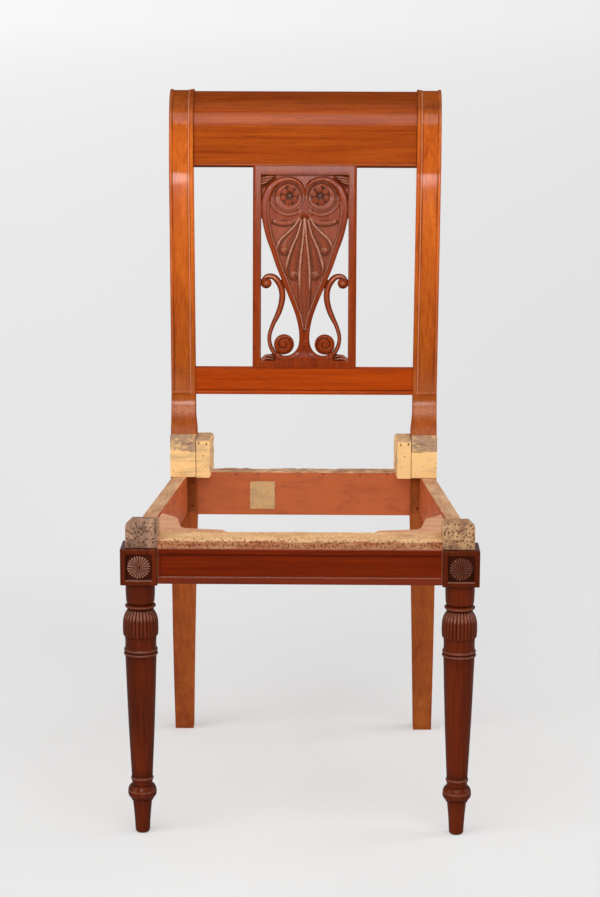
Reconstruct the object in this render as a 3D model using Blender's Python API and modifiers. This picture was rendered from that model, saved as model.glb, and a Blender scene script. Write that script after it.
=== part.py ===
"""Palmette back chair, bare of its upholstery.

A pegged frame of mahogany and pale tacking wood: turned front legs, stiles that sweep up from the
raked rear legs and roll over backwards with the crest rail, and a pierced splat carved with a palmette.

Lengths are in metres and +Z is up. The chair faces -Y. In the working frame x = 0 is the middle,
y = 0 the front of the front leg blocks and z = 0 the floor; the chair empty then puts the origin at
the middle of the whole depth. Left and right are as seen from the front.
"""

import math

import bmesh
import bpy
from mathutils import Matrix, Vector

# Fits and facets
CLEARANCE = 0.0003
FACET_ANGLE = math.radians(8)
TURNED_STEPS = 24
ROUND_STEPS = 16
CURVE_STEPS = 8

# Seat plan
FRONT_WIDTH = 0.455
REAR_WIDTH = 0.376
SEAT_DEPTH = 0.390

# Front legs, as a stack of turned lengths from the floor up
FOOT_HEIGHT = 0.0440
KNOB_LOWER_HEIGHT = 0.0107
KNOB_UPPER_HEIGHT = 0.0104
ANKLE_HEIGHT = 0.0064
ANKLE_RING_HEIGHT = 0.0057
SHAFT_HEIGHT = 0.1622
COLLAR_HEIGHT = 0.0104
BAND_HEIGHT = 0.0157
BULB_HEIGHT = 0.0350
NECK_RING_HEIGHT = 0.0078
CUP_HEIGHT = 0.0285
LEG_BLOCK_HEIGHT = 0.0474
UPPER_BLOCK_FACE = 0.0282
UPPER_BLOCK_CHAMFER = 0.0080
UPPER_BLOCK_SETBACK = 0.0065
UPPER_BLOCK_FLAT = 0.0110
UPPER_BLOCK_SLOPE = math.radians(30)
LEG_BLOCK = 0.0472

# Radii of the turned parts
FOOT_FLAT_RADIUS = 0.0054
FOOT_ROUNDING = 0.0040
FOOT_TOP_RADIUS = 0.0125
KNOB_RADIUS = 0.0186
ANKLE_RADIUS = 0.0137
ANKLE_RING_RADIUS = 0.0150
SHAFT_FOOT_RADIUS = 0.0136
SHAFT_HEAD_RADIUS = 0.0200
COLLAR_RADIUS = 0.0217
BAND_RADIUS = 0.0205
BULB_RADIUS = 0.0227
BULB_NECK_RADIUS = 0.0163
NECK_RING_RADIUS = 0.0192
CUP_FOOT_RADIUS = 0.0174
CUP_HEAD_RADIUS = 0.0187

# Rosette panels on the leg blocks
PANEL_SIZE = 0.0330
PANEL_DEPTH = 0.0016
ROSETTE_RADIUS = 0.0150
ROSETTE_RISE = 0.0013

# Front seat rail
SEAT_RAIL_LIFT = 0.0021
FRONT_RAIL_SETBACK = 0.0020
FRONT_RAIL_THICK = 0.0310
FRONT_RAIL_FOOT_FILLET = 0.0090
FRONT_RAIL_PANEL = 0.0295
FRONT_RAIL_HEAD_FILLET = 0.0077
FRONT_RAIL_PANEL_DEPTH = 0.0012
FRONT_RAIL_BEVEL = 0.0108
FRONT_RAIL_TOP_RISE = 0.0040

# Side and back seat rails
SIDE_RAIL_THICK = 0.0235
SIDE_RAIL_HEIGHT = 0.0549
SIDE_RAIL_INSET = 0.0060
SIDE_RAIL_BEVEL = 0.0045
BACK_RAIL_THICK = 0.0250
BACK_RAIL_HEIGHT = 0.0627
BACK_RAIL_DROP = 0.0034
BACK_RAIL_SETBACK = 0.0080

# Stiles: side profile of their front face, from the floor up
REAR_FOOT_SETBACK = 0.058
CONSOLE_LEVEL = 0.420
CONSOLE_TILT = math.radians(30)
CONSOLE_LOWER_RADIUS = 0.090
CONSOLE_UPPER_RADIUS = 0.110
BACK_RAKE = math.radians(7)
BACK_STRAIGHT = 0.2985
NECK_TILT = math.radians(27)
NECK_RADIUS = 0.300
ROLL_END = math.radians(160)
ROLL_RADIUS = 0.048

# Stiles: sections
STILE_WIDTH = 0.0340
SEAT_POST_WIDTH = 0.0365
POST_FLARE_HEIGHT = 0.0220
TOP_WIDTH = 0.3855
REAR_FOOT_WIDTH = 0.0265
REAR_FOOT_DEPTH = 0.0255
SEAT_POST_DEPTH = 0.0400
BACK_POST_DEPTH = 0.0240
STILE_OUTER_BEAD = 0.0055
STILE_INNER_BEAD = 0.0080
STILE_RECESS = 0.0015

# Crest rail and lower back rail
CREST_ABOVE_NECK = 0.0235
CREST_SETBACK = 0.0030
CREST_THICK = 0.0205
LOWER_RAIL_HEIGHT = 0.0362
LOWER_RAIL_THICK = 0.0220
LOWER_RAIL_SETBACK = 0.0015
LOWER_RAIL_BEAD = 0.0055

# Splat panel
SPLAT_WIDTH = 0.1464
SPLAT_THICK = 0.0120
SPLAT_SETBACK = 0.0040
SPLAT_HOUSING = 0.0080
SPLAT_SIDE_BORDER = 0.0115
SPLAT_FOOT_BORDER = 0.0117
SPLAT_HEAD_BORDER = 0.0124

# Splat carving: depths behind the front of its border
GROUND_DEPTH = 0.0042
STRAP_DEPTH = 0.0006
SCROLL_DEPTH = 0.0009
VOLUTE_DEPTH = 0.0005
ROSETTE_FIELD_DEPTH = 0.0013
BOSS_DEPTH = 0.0003
LEAF_DEPTH = 0.0016
CARVING_STEP = 0.0002
SPLAT_SCROLL_VOLUTE = 0.0088
SPLAT_FOOT_VOLUTE = 0.0140
SPLAT_ROSETTE = 0.0136
SPLAT_ROSETTE_LOBE = 0.0014
SPLAT_ROSETTE_PETALS = 6
SPLAT_BOSS = 0.0035
CORNER_LEAF_WIDE = 0.0095
CORNER_LEAF_TALL = 0.0075
CENTRE_LEAF = 0.0070
LONG_LEAF = 0.0055
SHORT_LEAF = 0.0050
LIP_LEAF = 0.0042

# Lines of the carving, drawn on the opening of the border: (share of its half width, share of its
# height). The strap rises from the foot volute and rolls over the rosette at its head.
STRAP_LINE = (
    (0.65, 0.035), (0.50, 0.014), (0.32, 0.016), (0.17, 0.039), (0.095, 0.081), (0.080, 0.146),
    (0.116, 0.222), (0.203, 0.287), (0.311, 0.352), (0.451, 0.432), (0.590, 0.513), (0.705, 0.597),
    (0.807, 0.665), (0.924, 0.772), (0.930, 0.837), (0.908, 0.902), (0.762, 0.955), (0.535, 0.978),
    (0.324, 0.974), (0.150, 0.945),
)
STRAP_WAIST = 5
STRAP_SHOULDER = 14
STRAP_HALF = 0.0040
SCROLL_LINE = (
    (0.856, 0.430), (0.752, 0.450), (0.592, 0.421), (0.5235, 0.372), (0.536, 0.326), (0.603, 0.274),
    (0.715, 0.2095), (0.7925, 0.149), (0.8055, 0.115), (0.776, 0.077), (0.695, 0.040),
)
SCROLL_HEAD_HALF = 0.0044
SCROLL_FOOT_HALF = 0.0025
SCROLL_VOLUTE_AT = (0.858, 0.419)
FOOT_VOLUTE_AT = (0.465, 0.087)
ROSETTE_AT = (0.381, 0.883)
CORNER_LEAF_AT = (0.83, 0.005)
CENTRE_LEAF_LINE = ((0.0, 0.785), (0.0, 0.50), (0.0, 0.230))
LONG_LEAF_LINE = ((0.040, 0.793), (0.10, 0.62), (0.21, 0.429))
SHORT_LEAF_LINE = ((0.055, 0.781), (0.28, 0.70), (0.454, 0.589))
LIP_LEAF_LINE = ((0.050, 0.801), (0.389, 0.690), (0.697, 0.749))

# Tacking blocks at the rear corners
FACE_BLOCK_THICK = 0.0110
FACE_BLOCK_HEIGHT = 0.0586
INNER_BLOCK_WIDTH = 0.0188
INNER_BLOCK_DEPTH = 0.0450
INNER_BLOCK_HEIGHT = 0.0560
INNER_BLOCK_DROP = 0.0004
INNER_BLOCK_WIDEN = 0.0038
INNER_BLOCK_ROUNDING = 0.0040

# Front corner braces
BRACE_HEIGHT = 0.0420
BRACE_BELOW_TOP = 0.0012
BRACE_FRONT_REACH = 0.1030
BRACE_SIDE_REACH = 0.1330
BRACE_ARM = 0.0252
BRACE_WEB = 0.0085
BRACE_DEPTH = 0.0407
BRACE_FRONT_SLANT = 0.0230
BRACE_SIDE_SLANT = 0.0255
BRACE_EASING = 0.0100

# Joints
PEG_RADIUS = 0.0030
PEG_SIDES = 12
PEG_TIP_WALL = 0.0040
TENON_ROOT = 0.0040
FRONT_TENON_THICK = 0.0100
FRONT_TENON_LENGTH = 0.0200
FRONT_TENON_BEHIND = 0.0100
SIDE_TENON_THICK = 0.0100
SIDE_TENON_FRONT_LENGTH = 0.0185
SIDE_TENON_REAR_LENGTH = 0.0250
SEAT_TENON_SHOULDER = 0.0090
BACK_TENON_THICK = 0.0100
BACK_TENON_LENGTH = 0.0140
POST_TENON_THICK = 0.0080
POST_TENON_LENGTH = 0.0140
POST_TENON_BEHIND = 0.0080
CREST_TENON_RISE = 0.0280
CREST_TENON_HEIGHT = 0.0380
LOWER_TENON_SHOULDER = 0.0060
PEG_FROM_SHOULDER = 0.0070
SEAT_PEG_SPACING = 0.0180

SIDES = {"left": -1, "right": 1}

LEG_STACK = (
    FOOT_HEIGHT, KNOB_LOWER_HEIGHT, KNOB_UPPER_HEIGHT, ANKLE_HEIGHT, ANKLE_RING_HEIGHT, SHAFT_HEIGHT,
    COLLAR_HEIGHT, BAND_HEIGHT, BULB_HEIGHT, NECK_RING_HEIGHT, CUP_HEIGHT,
)
LEG_BLOCK_BOTTOM = sum(LEG_STACK)
LEG_BLOCK_TOP = LEG_BLOCK_BOTTOM + LEG_BLOCK_HEIGHT
UPPER_BLOCK_TOP = LEG_BLOCK_TOP + UPPER_BLOCK_FACE + UPPER_BLOCK_CHAMFER
SEAT_RAIL_BOTTOM = LEG_BLOCK_BOTTOM + SEAT_RAIL_LIFT
SIDE_RAIL_TOP = SEAT_RAIL_BOTTOM + SIDE_RAIL_HEIGHT
FRONT_RAIL_BACK = FRONT_RAIL_SETBACK + FRONT_RAIL_THICK
BACK_RAIL_BOTTOM = SEAT_RAIL_BOTTOM - BACK_RAIL_DROP
BACK_RAIL_TOP = BACK_RAIL_BOTTOM + BACK_RAIL_HEIGHT
BACK_RAIL_FRONT = SEAT_DEPTH + BACK_RAIL_SETBACK
BLOCK_FRONT = SEAT_DEPTH - FACE_BLOCK_THICK
POST_FLARE_LEVEL = SIDE_RAIL_TOP + FACE_BLOCK_HEIGHT + 0.0020
LEG_INNER = FRONT_WIDTH / 2 - LEG_BLOCK

REAR_LEG_RADIUS = (SEAT_RAIL_BOTTOM ** 2 + REAR_FOOT_SETBACK ** 2) / (2 * REAR_FOOT_SETBACK)
REAR_LEG_ANGLE = math.asin(SEAT_RAIL_BOTTOM / REAR_LEG_RADIUS)

# The front of the stile as stretches of steady curvature: (length, curvature)
STILE_STRETCHES = (
    (REAR_LEG_RADIUS * REAR_LEG_ANGLE, 1 / REAR_LEG_RADIUS),
    (CONSOLE_LEVEL - SEAT_RAIL_BOTTOM, 0.0),
    (CONSOLE_LOWER_RADIUS * CONSOLE_TILT, 1 / CONSOLE_LOWER_RADIUS),
    (CONSOLE_UPPER_RADIUS * (CONSOLE_TILT - BACK_RAKE), -1 / CONSOLE_UPPER_RADIUS),
    (BACK_STRAIGHT, 0.0),
    (NECK_RADIUS * (NECK_TILT - BACK_RAKE), 1 / NECK_RADIUS),
    (ROLL_RADIUS * (ROLL_END - NECK_TILT), 1 / ROLL_RADIUS),
)
STILE_MARKS = [sum(length for length, _ in STILE_STRETCHES[:count]) for count in range(8)]
(_, LEG_MARK, CONSOLE_MARK, _, LOWER_RAIL_MARK, NECK_MARK, _, ROLL_MARK) = STILE_MARKS
LOWER_RAIL_TOP_MARK = LOWER_RAIL_MARK + LOWER_RAIL_HEIGHT
CREST_MARK = NECK_MARK + CREST_ABOVE_NECK


# Profile of the stiles

def front_at(mark):
    """(y, z, tilt) at this length up the front of the stile; tilt is the lean back from upright."""
    y = SEAT_DEPTH + REAR_FOOT_SETBACK
    z = 0.0
    tilt = -REAR_LEG_ANGLE
    for length, curvature in STILE_STRETCHES:
        step = min(mark, length)
        turned = tilt + curvature * step
        if curvature:
            y += (math.cos(tilt) - math.cos(turned)) / curvature
            z += (math.sin(turned) - math.sin(tilt)) / curvature
        else:
            y += math.sin(tilt) * step
            z += math.cos(tilt) * step
        tilt = turned
        mark -= step
    return y, z, tilt


def behind(mark, depth):
    """(y, z) of the point this deep behind the front of the stile."""
    y, z, tilt = front_at(mark)
    return y + depth * math.cos(tilt), z - depth * math.sin(tilt)


def post_depth(mark):
    """Depth of the stile from front to back, thickest through the seat."""
    knots = (
        (0.0, REAR_FOOT_DEPTH), (LEG_MARK, SEAT_POST_DEPTH), (CONSOLE_MARK, SEAT_POST_DEPTH),
        (LOWER_RAIL_MARK, BACK_POST_DEPTH), (ROLL_MARK, BACK_POST_DEPTH),
    )
    for (low, low_depth), (high, high_depth) in zip(knots, knots[1:]):
        if mark <= high:
            return low_depth + (high_depth - low_depth) * (mark - low) / (high - low)
    return BACK_POST_DEPTH


def marks_between(low, high):
    """Marks from low to high, closer together where the profile turns."""
    marks = [low]
    for start, (length, curvature) in zip(STILE_MARKS, STILE_STRETCHES):
        first = max(low, start)
        last = min(high, start + length)
        if last <= first:
            continue
        count = max(1, math.ceil(abs(curvature) * (last - first) / FACET_ANGLE))
        marks += [first + (last - first) * (i + 1) / count for i in range(count)]
    return marks


def mark_at_height(z):
    """The mark where the front of the stile passes this height, below the roll."""
    low = 0.0
    high = NECK_MARK
    for _ in range(50):
        middle = (low + high) / 2
        if front_at(middle)[1] < z:
            low = middle
        else:
            high = middle
    return low


def band(low, high, front, back):
    """Side outline of a band along the stile profile; front and back are depths or functions of the mark."""
    marks = marks_between(low, high)
    front_of = front if callable(front) else lambda mark: front
    back_of = back if callable(back) else lambda mark: back
    return ([behind(mark, front_of(mark)) for mark in marks]
            + [behind(mark, back_of(mark)) for mark in reversed(marks)])


LOWER_RAIL_LEVEL = front_at(LOWER_RAIL_MARK)[1]
ROLL_TOP = max(front_at(mark)[1] for mark in marks_between(NECK_MARK, ROLL_MARK))
BACK_REACH = max(front_at(mark)[0] for mark in marks_between(NECK_MARK, ROLL_MARK))


def outer_half(z):
    """Half the width over the stiles: even up to the lower back rail, then spreading to the top."""
    share = max(0.0, (z - LOWER_RAIL_LEVEL) / (ROLL_TOP - LOWER_RAIL_LEVEL))
    return (REAR_WIDTH + (TOP_WIDTH - REAR_WIDTH) * share) / 2


def inner_half(z):
    """Half the width between the stiles, which widen inwards up to the seat and narrow above the blocks."""
    widening = min(1.0, z / SEAT_RAIL_BOTTOM)
    narrowing = min(1.0, max(0.0, (z - POST_FLARE_LEVEL) / POST_FLARE_HEIGHT))
    width = REAR_FOOT_WIDTH + (SEAT_POST_WIDTH - REAR_FOOT_WIDTH) * widening
    return outer_half(z) - width + (SEAT_POST_WIDTH - STILE_WIDTH) * narrowing


def side_rail_outer(y):
    """Distance of the side rail's outer face from the middle, at this depth."""
    share = (y - LEG_BLOCK) / (SEAT_DEPTH - LEG_BLOCK)
    front = FRONT_WIDTH / 2 - SIDE_RAIL_INSET
    return front + (REAR_WIDTH / 2 - front) * share


# Scene, collections and materials

for old in list(bpy.data.objects):
    bpy.data.objects.remove(old)

chair_parts = bpy.data.collections.new("palmette_back_chair")
cutters = bpy.data.collections.new("cutters")
carving = bpy.data.collections.new("splat_carving_blanks")
for collection in (chair_parts, cutters, carving):
    bpy.context.scene.collection.children.link(collection)

chair = bpy.data.objects.new("chair", None)
chair.location = (0, -BACK_REACH / 2, 0)
chair_parts.objects.link(chair)


def wood(name, colour, roughness):
    material = bpy.data.materials.new(name)
    material.use_nodes = True
    shader = material.node_tree.nodes["Principled BSDF"]
    shader.inputs["Base Color"].default_value = (*colour, 1)
    shader.inputs["Roughness"].default_value = roughness
    shader.inputs["Metallic"].default_value = 0
    return material


STILE_WOOD = wood("stile mahogany", (0.42, 0.13, 0.045), 0.28)
CREST_WOOD = wood("crest mahogany", (0.36, 0.10, 0.03), 0.25)
SPLAT_WOOD = wood("splat mahogany", (0.33, 0.09, 0.03), 0.32)
RAIL_WOOD = wood("front rail mahogany", (0.22, 0.045, 0.015), 0.30)
LEG_WOOD = wood("leg mahogany", (0.10, 0.022, 0.012), 0.30)
SEAT_WOOD = wood("inner rail beech", (0.38, 0.14, 0.06), 0.60)
BRACE_WOOD = wood("brace beech", (0.55, 0.26, 0.14), 0.65)
BLOCK_WOOD = wood("tacking block pine", (0.72, 0.45, 0.19), 0.65)
PEG_WOOD = wood("peg oak", (0.30, 0.13, 0.06), 0.55)


# Modelling helpers

def add_object(name, mesh, material=None):
    """A part when it has a material, and otherwise a cutter or blank, which stays hidden."""
    obj = bpy.data.objects.new(name, mesh)
    obj.parent = chair
    if material:
        mesh.materials.append(material)
        chair_parts.objects.link(obj)
    else:
        cutters.objects.link(obj)
        obj.hide_render = True
        obj.display_type = "WIRE"
    return obj


def face_outwards(shape):
    """Makes the faces of a closed shape agree, and then look out of it."""
    bmesh.ops.recalc_face_normals(shape, faces=shape.faces)
    if shape.calc_volume(signed=True) < 0:
        bmesh.ops.reverse_faces(shape, faces=shape.faces)


def outline_solid(name, outline, place, material=None):
    """Solid between two copies of a flat outline; place puts (a, b, side) in space, side being -1 or 1."""
    curve = bpy.data.curves.new(name, "CURVE")
    curve.dimensions = "2D"
    curve.fill_mode = "BOTH"
    curve.extrude = 1.0
    spline = curve.splines.new("POLY")
    spline.points.add(len(outline) - 1)
    for point, (a, b) in zip(spline.points, outline):
        point.co = (a, b, 0, 1)
    spline.use_cyclic_u = True
    drawn = bpy.data.objects.new(name + " outline", curve)
    bpy.context.scene.collection.objects.link(drawn)
    mesh = bpy.data.meshes.new_from_object(drawn.evaluated_get(bpy.context.evaluated_depsgraph_get()))
    bpy.data.objects.remove(drawn)
    mesh.name = name
    shape = bmesh.new()
    shape.from_mesh(mesh)
    bmesh.ops.remove_doubles(shape, verts=shape.verts, dist=1e-6)
    for vertex in shape.verts:
        vertex.co = place(vertex.co.x, vertex.co.y, 1 if vertex.co.z > 0 else -1)
    face_outwards(shape)
    shape.to_mesh(mesh)
    shape.free()
    mesh.materials.clear()
    return add_object(name, mesh, material)


def box(name, low, high, matrix=None, material=None):
    """Box between two corners, moved by the matrix when one is given."""
    low = Vector(low)
    high = Vector(high)
    shape = bmesh.new()
    bmesh.ops.create_cube(shape, size=1)
    bmesh.ops.scale(shape, vec=high - low, verts=shape.verts)
    bmesh.ops.translate(shape, vec=(low + high) / 2, verts=shape.verts)
    if matrix:
        bmesh.ops.transform(shape, matrix=matrix, verts=shape.verts)
    face_outwards(shape)
    mesh = bpy.data.meshes.new(name)
    shape.to_mesh(mesh)
    shape.free()
    return add_object(name, mesh, material)


def rod(name, start, direction, length, radius, sides, material=None):
    """Round rod from a start point along a direction."""
    shape = bmesh.new()
    bmesh.ops.create_cone(
        shape, cap_ends=True, segments=sides, radius1=radius, radius2=radius, depth=length)
    mesh = bpy.data.meshes.new(name)
    shape.to_mesh(mesh)
    shape.free()
    mesh.shade_smooth()
    mesh.set_sharp_from_angle(angle=math.radians(40))
    obj = add_object(name, mesh, material)
    obj.location = start + direction * (length / 2)
    obj.rotation_euler = direction.to_track_quat("Z", "Y").to_euler()
    return obj


def combine(target, other, operation):
    modifier = target.modifiers.new(other.name, "BOOLEAN")
    modifier.operation = operation
    modifier.object = other
    modifier.solver = "EXACT"


def tenon(name, rail, host, low, high, matrix=None):
    """A tenon on the rail, and a mortise for it in the host, larger all round by the clearance."""
    combine(rail, box(f"{name}_tenon", low, high, matrix), "UNION")
    grown = Vector((CLEARANCE, CLEARANCE, CLEARANCE))
    mortise = box(f"{name}_mortise", Vector(low) - grown, Vector(high) + grown, matrix)
    combine(host, mortise, "DIFFERENCE")


def peg(name, mouth, direction, length, hosts):
    """A peg driven in at the mouth, flush with the face there, and its hole through each host."""
    rod(name, mouth, direction, length, PEG_RADIUS, PEG_SIDES, PEG_WOOD)
    lead = PEG_RADIUS
    hole = rod(f"{name}_hole", mouth - direction * lead, direction, lead + length + CLEARANCE,
               PEG_RADIUS + CLEARANCE, PEG_SIDES)
    for host in hosts:
        combine(host, hole, "DIFFERENCE")


def profile_matrix(mark):
    """Frame of the stile profile at a mark: X across, Y into the wood, Z up along the front face."""
    y, z, tilt = front_at(mark)
    return Matrix.Translation((0, y, z)) @ Matrix.Rotation(-tilt, 4, "X")


# Front legs

def bulge(low, high, base, peak, count):
    """Points down a rounded ring: half a sine wave on a base radius."""
    return [(base + (peak - base) * math.sin(math.pi * i / count), high + (low - high) * i / count)
            for i in range(count + 1)]


def leg_profile():
    """Outer side of the turned leg as (radius, height), from the top of its tenon down to the foot."""
    levels = [sum(LEG_STACK[:count]) for count in range(len(LEG_STACK) + 1)]
    (_, foot_top, knob_middle, knob_top, ankle_top, ankle_ring_top, shaft_top, collar_top, band_top,
     bulb_top, neck_ring_top, cup_top) = levels
    quarter = [math.pi / 2 * i / 4 for i in range(5)]
    spigot = cup_top + LEG_BLOCK_HEIGHT / 4
    profile = [(0, spigot), (CUP_HEAD_RADIUS, spigot), (CUP_HEAD_RADIUS, cup_top - CUP_HEIGHT / 3),
               (CUP_FOOT_RADIUS, neck_ring_top)]
    profile += bulge(bulb_top, neck_ring_top, BULB_NECK_RADIUS, NECK_RING_RADIUS, 4)[1:]
    profile += [(BULB_NECK_RADIUS + (BULB_RADIUS - BULB_NECK_RADIUS) * math.sin(turn),
                 bulb_top - BULB_HEIGHT / 2 * (1 - math.cos(turn))) for turn in quarter[1:]]
    profile += [(BULB_RADIUS, band_top + BULB_HEIGHT / 20), (BAND_RADIUS, band_top)]
    middle = collar_top - COLLAR_HEIGHT / 2
    profile += bulge(middle, collar_top, BAND_RADIUS, COLLAR_RADIUS, 3)
    profile += bulge(shaft_top, middle, SHAFT_HEAD_RADIUS, COLLAR_RADIUS, 3)[1:]
    profile += [(SHAFT_FOOT_RADIUS, ankle_ring_top)]
    profile += bulge(ankle_top, ankle_ring_top, ANKLE_RADIUS, ANKLE_RING_RADIUS, 4)[1:]
    profile += [(ANKLE_RADIUS, knob_top)]
    profile += [(ANKLE_RADIUS + (KNOB_RADIUS - ANKLE_RADIUS) * math.sin(turn),
                 knob_top - KNOB_UPPER_HEIGHT * (1 - math.cos(turn))) for turn in quarter[1:]]
    profile += [(FOOT_TOP_RADIUS + (KNOB_RADIUS - FOOT_TOP_RADIUS) * math.cos(turn),
                 knob_middle - KNOB_LOWER_HEIGHT * math.sin(turn)) for turn in quarter[1:]]
    profile += [(FOOT_FLAT_RADIUS + FOOT_ROUNDING * math.cos(turn), FOOT_ROUNDING * (1 - math.sin(turn)))
                for turn in quarter]
    return profile + [(0, 0)]


def turned_leg(name):
    """The turned part: its half outline, spun about the leg's axis."""
    profile = leg_profile()
    mesh = bpy.data.meshes.new(name)
    points = [(radius, 0, height) for radius, height in profile]
    mesh.from_pydata(points, [(i, i + 1) for i in range(len(points) - 1)], [])
    leg = add_object(name, mesh, LEG_WOOD)
    spin = leg.modifiers.new("turning", "SCREW")
    spin.steps = TURNED_STEPS
    spin.render_steps = TURNED_STEPS
    spin.use_merge_vertices = True
    spin.merge_threshold = 0.00001
    spin.use_smooth_shade = True
    return leg


def upper_block(name, side, half):
    """Bare block above the leg block: set back in front and outside, with those two top edges bevelled and
    its top sloping down behind."""
    outer = half - UPPER_BLOCK_SETBACK
    foot = LEG_BLOCK_BOTTOM + LEG_BLOCK_HEIGHT / 2
    block = box(name, (-half, -outer, foot), (outer, half, UPPER_BLOCK_TOP))
    shape = bmesh.new()
    shape.from_mesh(block.data)
    top_edges = []
    for edge in shape.edges:
        ends = [vertex.co for vertex in edge.verts]
        on_top = all(abs(end.z - UPPER_BLOCK_TOP) < CLEARANCE for end in ends)
        in_front = all(end.y < 0 for end in ends)
        outside = all(end.x > 0 for end in ends)
        if on_top and (in_front or outside):
            top_edges.append(edge)
    bmesh.ops.bevel(shape, geom=top_edges, offset=UPPER_BLOCK_CHAMFER, segments=1, affect="EDGES")
    crown = Vector((0, UPPER_BLOCK_CHAMFER + UPPER_BLOCK_FLAT - outer, UPPER_BLOCK_TOP))
    slope = Vector((0, math.sin(UPPER_BLOCK_SLOPE), math.cos(UPPER_BLOCK_SLOPE)))
    cut = bmesh.ops.bisect_plane(shape, geom=shape.verts[:] + shape.edges[:] + shape.faces[:],
                                 plane_co=crown, plane_no=slope, clear_outer=True)
    cut_edges = [item for item in cut["geom_cut"] if isinstance(item, bmesh.types.BMEdge)]
    bmesh.ops.contextual_create(shape, geom=cut_edges)
    bmesh.ops.scale(shape, vec=(side, 1, 1), verts=shape.verts)
    face_outwards(shape)
    shape.to_mesh(block.data)
    shape.free()
    return block


def rosette(name, leg, outward, half):
    """Sunk square panel with a raised round rosette, on the face of the leg block that looks outward."""
    middle = Vector((0, 0, LEG_BLOCK_BOTTOM + LEG_BLOCK_HEIGHT / 2))
    floor = middle + outward * (half - PANEL_DEPTH)
    across = Vector((abs(outward.y), abs(outward.x), 0)) * (PANEL_SIZE / 2)
    upright = Vector((0, 0, PANEL_SIZE / 2))
    corners = (floor - across - upright, floor + across + upright + outward * (2 * PANEL_DEPTH))
    low = [min(values) for values in zip(*corners)]
    high = [max(values) for values in zip(*corners)]
    panel = box(f"{name}_panel", low, high)
    disc = rod(f"{name}_disc", floor - outward * PANEL_DEPTH, outward, PANEL_DEPTH + ROSETTE_RISE,
               ROSETTE_RADIUS, TURNED_STEPS)
    disc.location += leg.location
    panel.location = leg.location
    combine(leg, panel, "DIFFERENCE")
    combine(leg, disc, "UNION")


def front_leg(hand, side):
    half = LEG_BLOCK / 2
    leg = turned_leg(f"front_leg_{hand}")
    leg.location = (side * (FRONT_WIDTH / 2 - half), half, 0)
    block = box(f"leg_block_{hand}", (-half, -half, LEG_BLOCK_BOTTOM), (half, half, LEG_BLOCK_TOP))
    block.location = leg.location
    upper = upper_block(f"upper_block_{hand}", side, half)
    upper.location = leg.location
    combine(leg, block, "UNION")
    combine(leg, upper, "UNION")
    rosette(f"front_rosette_{hand}", leg, Vector((0, -1, 0)), half)
    rosette(f"side_rosette_{hand}", leg, Vector((side, 0, 0)), half)
    return leg


# Stiles

def stile(hand, side):
    """Rear leg and back post in one: the side profile, between the inner and outer faces."""
    foot_y, _, foot_tilt = front_at(0)
    outline = band(0, ROLL_MARK, 0, post_depth)
    outline[-1] = (foot_y + REAR_FOOT_DEPTH / math.cos(foot_tilt), 0)

    def place(y, z, face):
        return Vector((side * (outer_half(z) if face > 0 else inner_half(z)), y, z))

    return outline_solid(f"stile_{hand}", outline, place, STILE_WOOD)


def stile_recess(hand, side, post):
    """Sunk face between the two beads, from above the lower back rail to short of the end of the roll."""

    def place(y, z, face):
        edge = outer_half(z) - STILE_OUTER_BEAD if face > 0 else inner_half(z) + STILE_INNER_BEAD
        return Vector((side * edge, y, z))

    low = LOWER_RAIL_MARK + LOWER_RAIL_BEAD
    groove = band(low, ROLL_MARK - STILE_INNER_BEAD, -STILE_RECESS, STILE_RECESS)
    combine(post, outline_solid(f"stile_recess_{hand}", groove, place), "DIFFERENCE")


# Seat rails

def front_seat_rail(legs):
    foot = SEAT_RAIL_BOTTOM + FRONT_RAIL_FOOT_FILLET
    head = foot + FRONT_RAIL_PANEL
    brow = head + FRONT_RAIL_HEAD_FILLET
    face = FRONT_RAIL_SETBACK
    sunk = face + FRONT_RAIL_PANEL_DEPTH
    top = brow + FRONT_RAIL_BEVEL
    outline = [
        (face, SEAT_RAIL_BOTTOM), (face, foot), (sunk, foot), (sunk, head), (face, head), (face, brow),
        (face + FRONT_RAIL_BEVEL, top), (FRONT_RAIL_BACK, top + FRONT_RAIL_TOP_RISE),
        (FRONT_RAIL_BACK, SEAT_RAIL_BOTTOM),
    ]
    end = LEG_INNER - CLEARANCE
    rail = outline_solid("front_seat_rail", outline,
                         lambda y, z, side: Vector((side * end, y, z)), RAIL_WOOD)
    tenon_front = FRONT_RAIL_SETBACK + FRONT_TENON_BEHIND
    low_z = SEAT_RAIL_BOTTOM + SEAT_TENON_SHOULDER
    high_z = LEG_BLOCK_TOP - SEAT_TENON_SHOULDER
    middle = (low_z + high_z) / 2
    for hand, side in SIDES.items():
        ends = sorted((side * (LEG_INNER - TENON_ROOT), side * (LEG_INNER + FRONT_TENON_LENGTH)))
        tenon(f"front_rail_{hand}", rail, legs[hand], (ends[0], tenon_front, low_z),
              (ends[1], tenon_front + FRONT_TENON_THICK, high_z))
        for number, sign in enumerate((-1, 1), 1):
            mouth = Vector((side * (LEG_INNER + PEG_FROM_SHOULDER), LEG_BLOCK,
                            middle + sign * SEAT_PEG_SPACING / 2))
            length = LEG_BLOCK - tenon_front + PEG_TIP_WALL
            peg(f"peg_front_rail_{hand}_{number}", mouth, Vector((0, -1, 0)), length, (rail, legs[hand]))
    return rail


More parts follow.
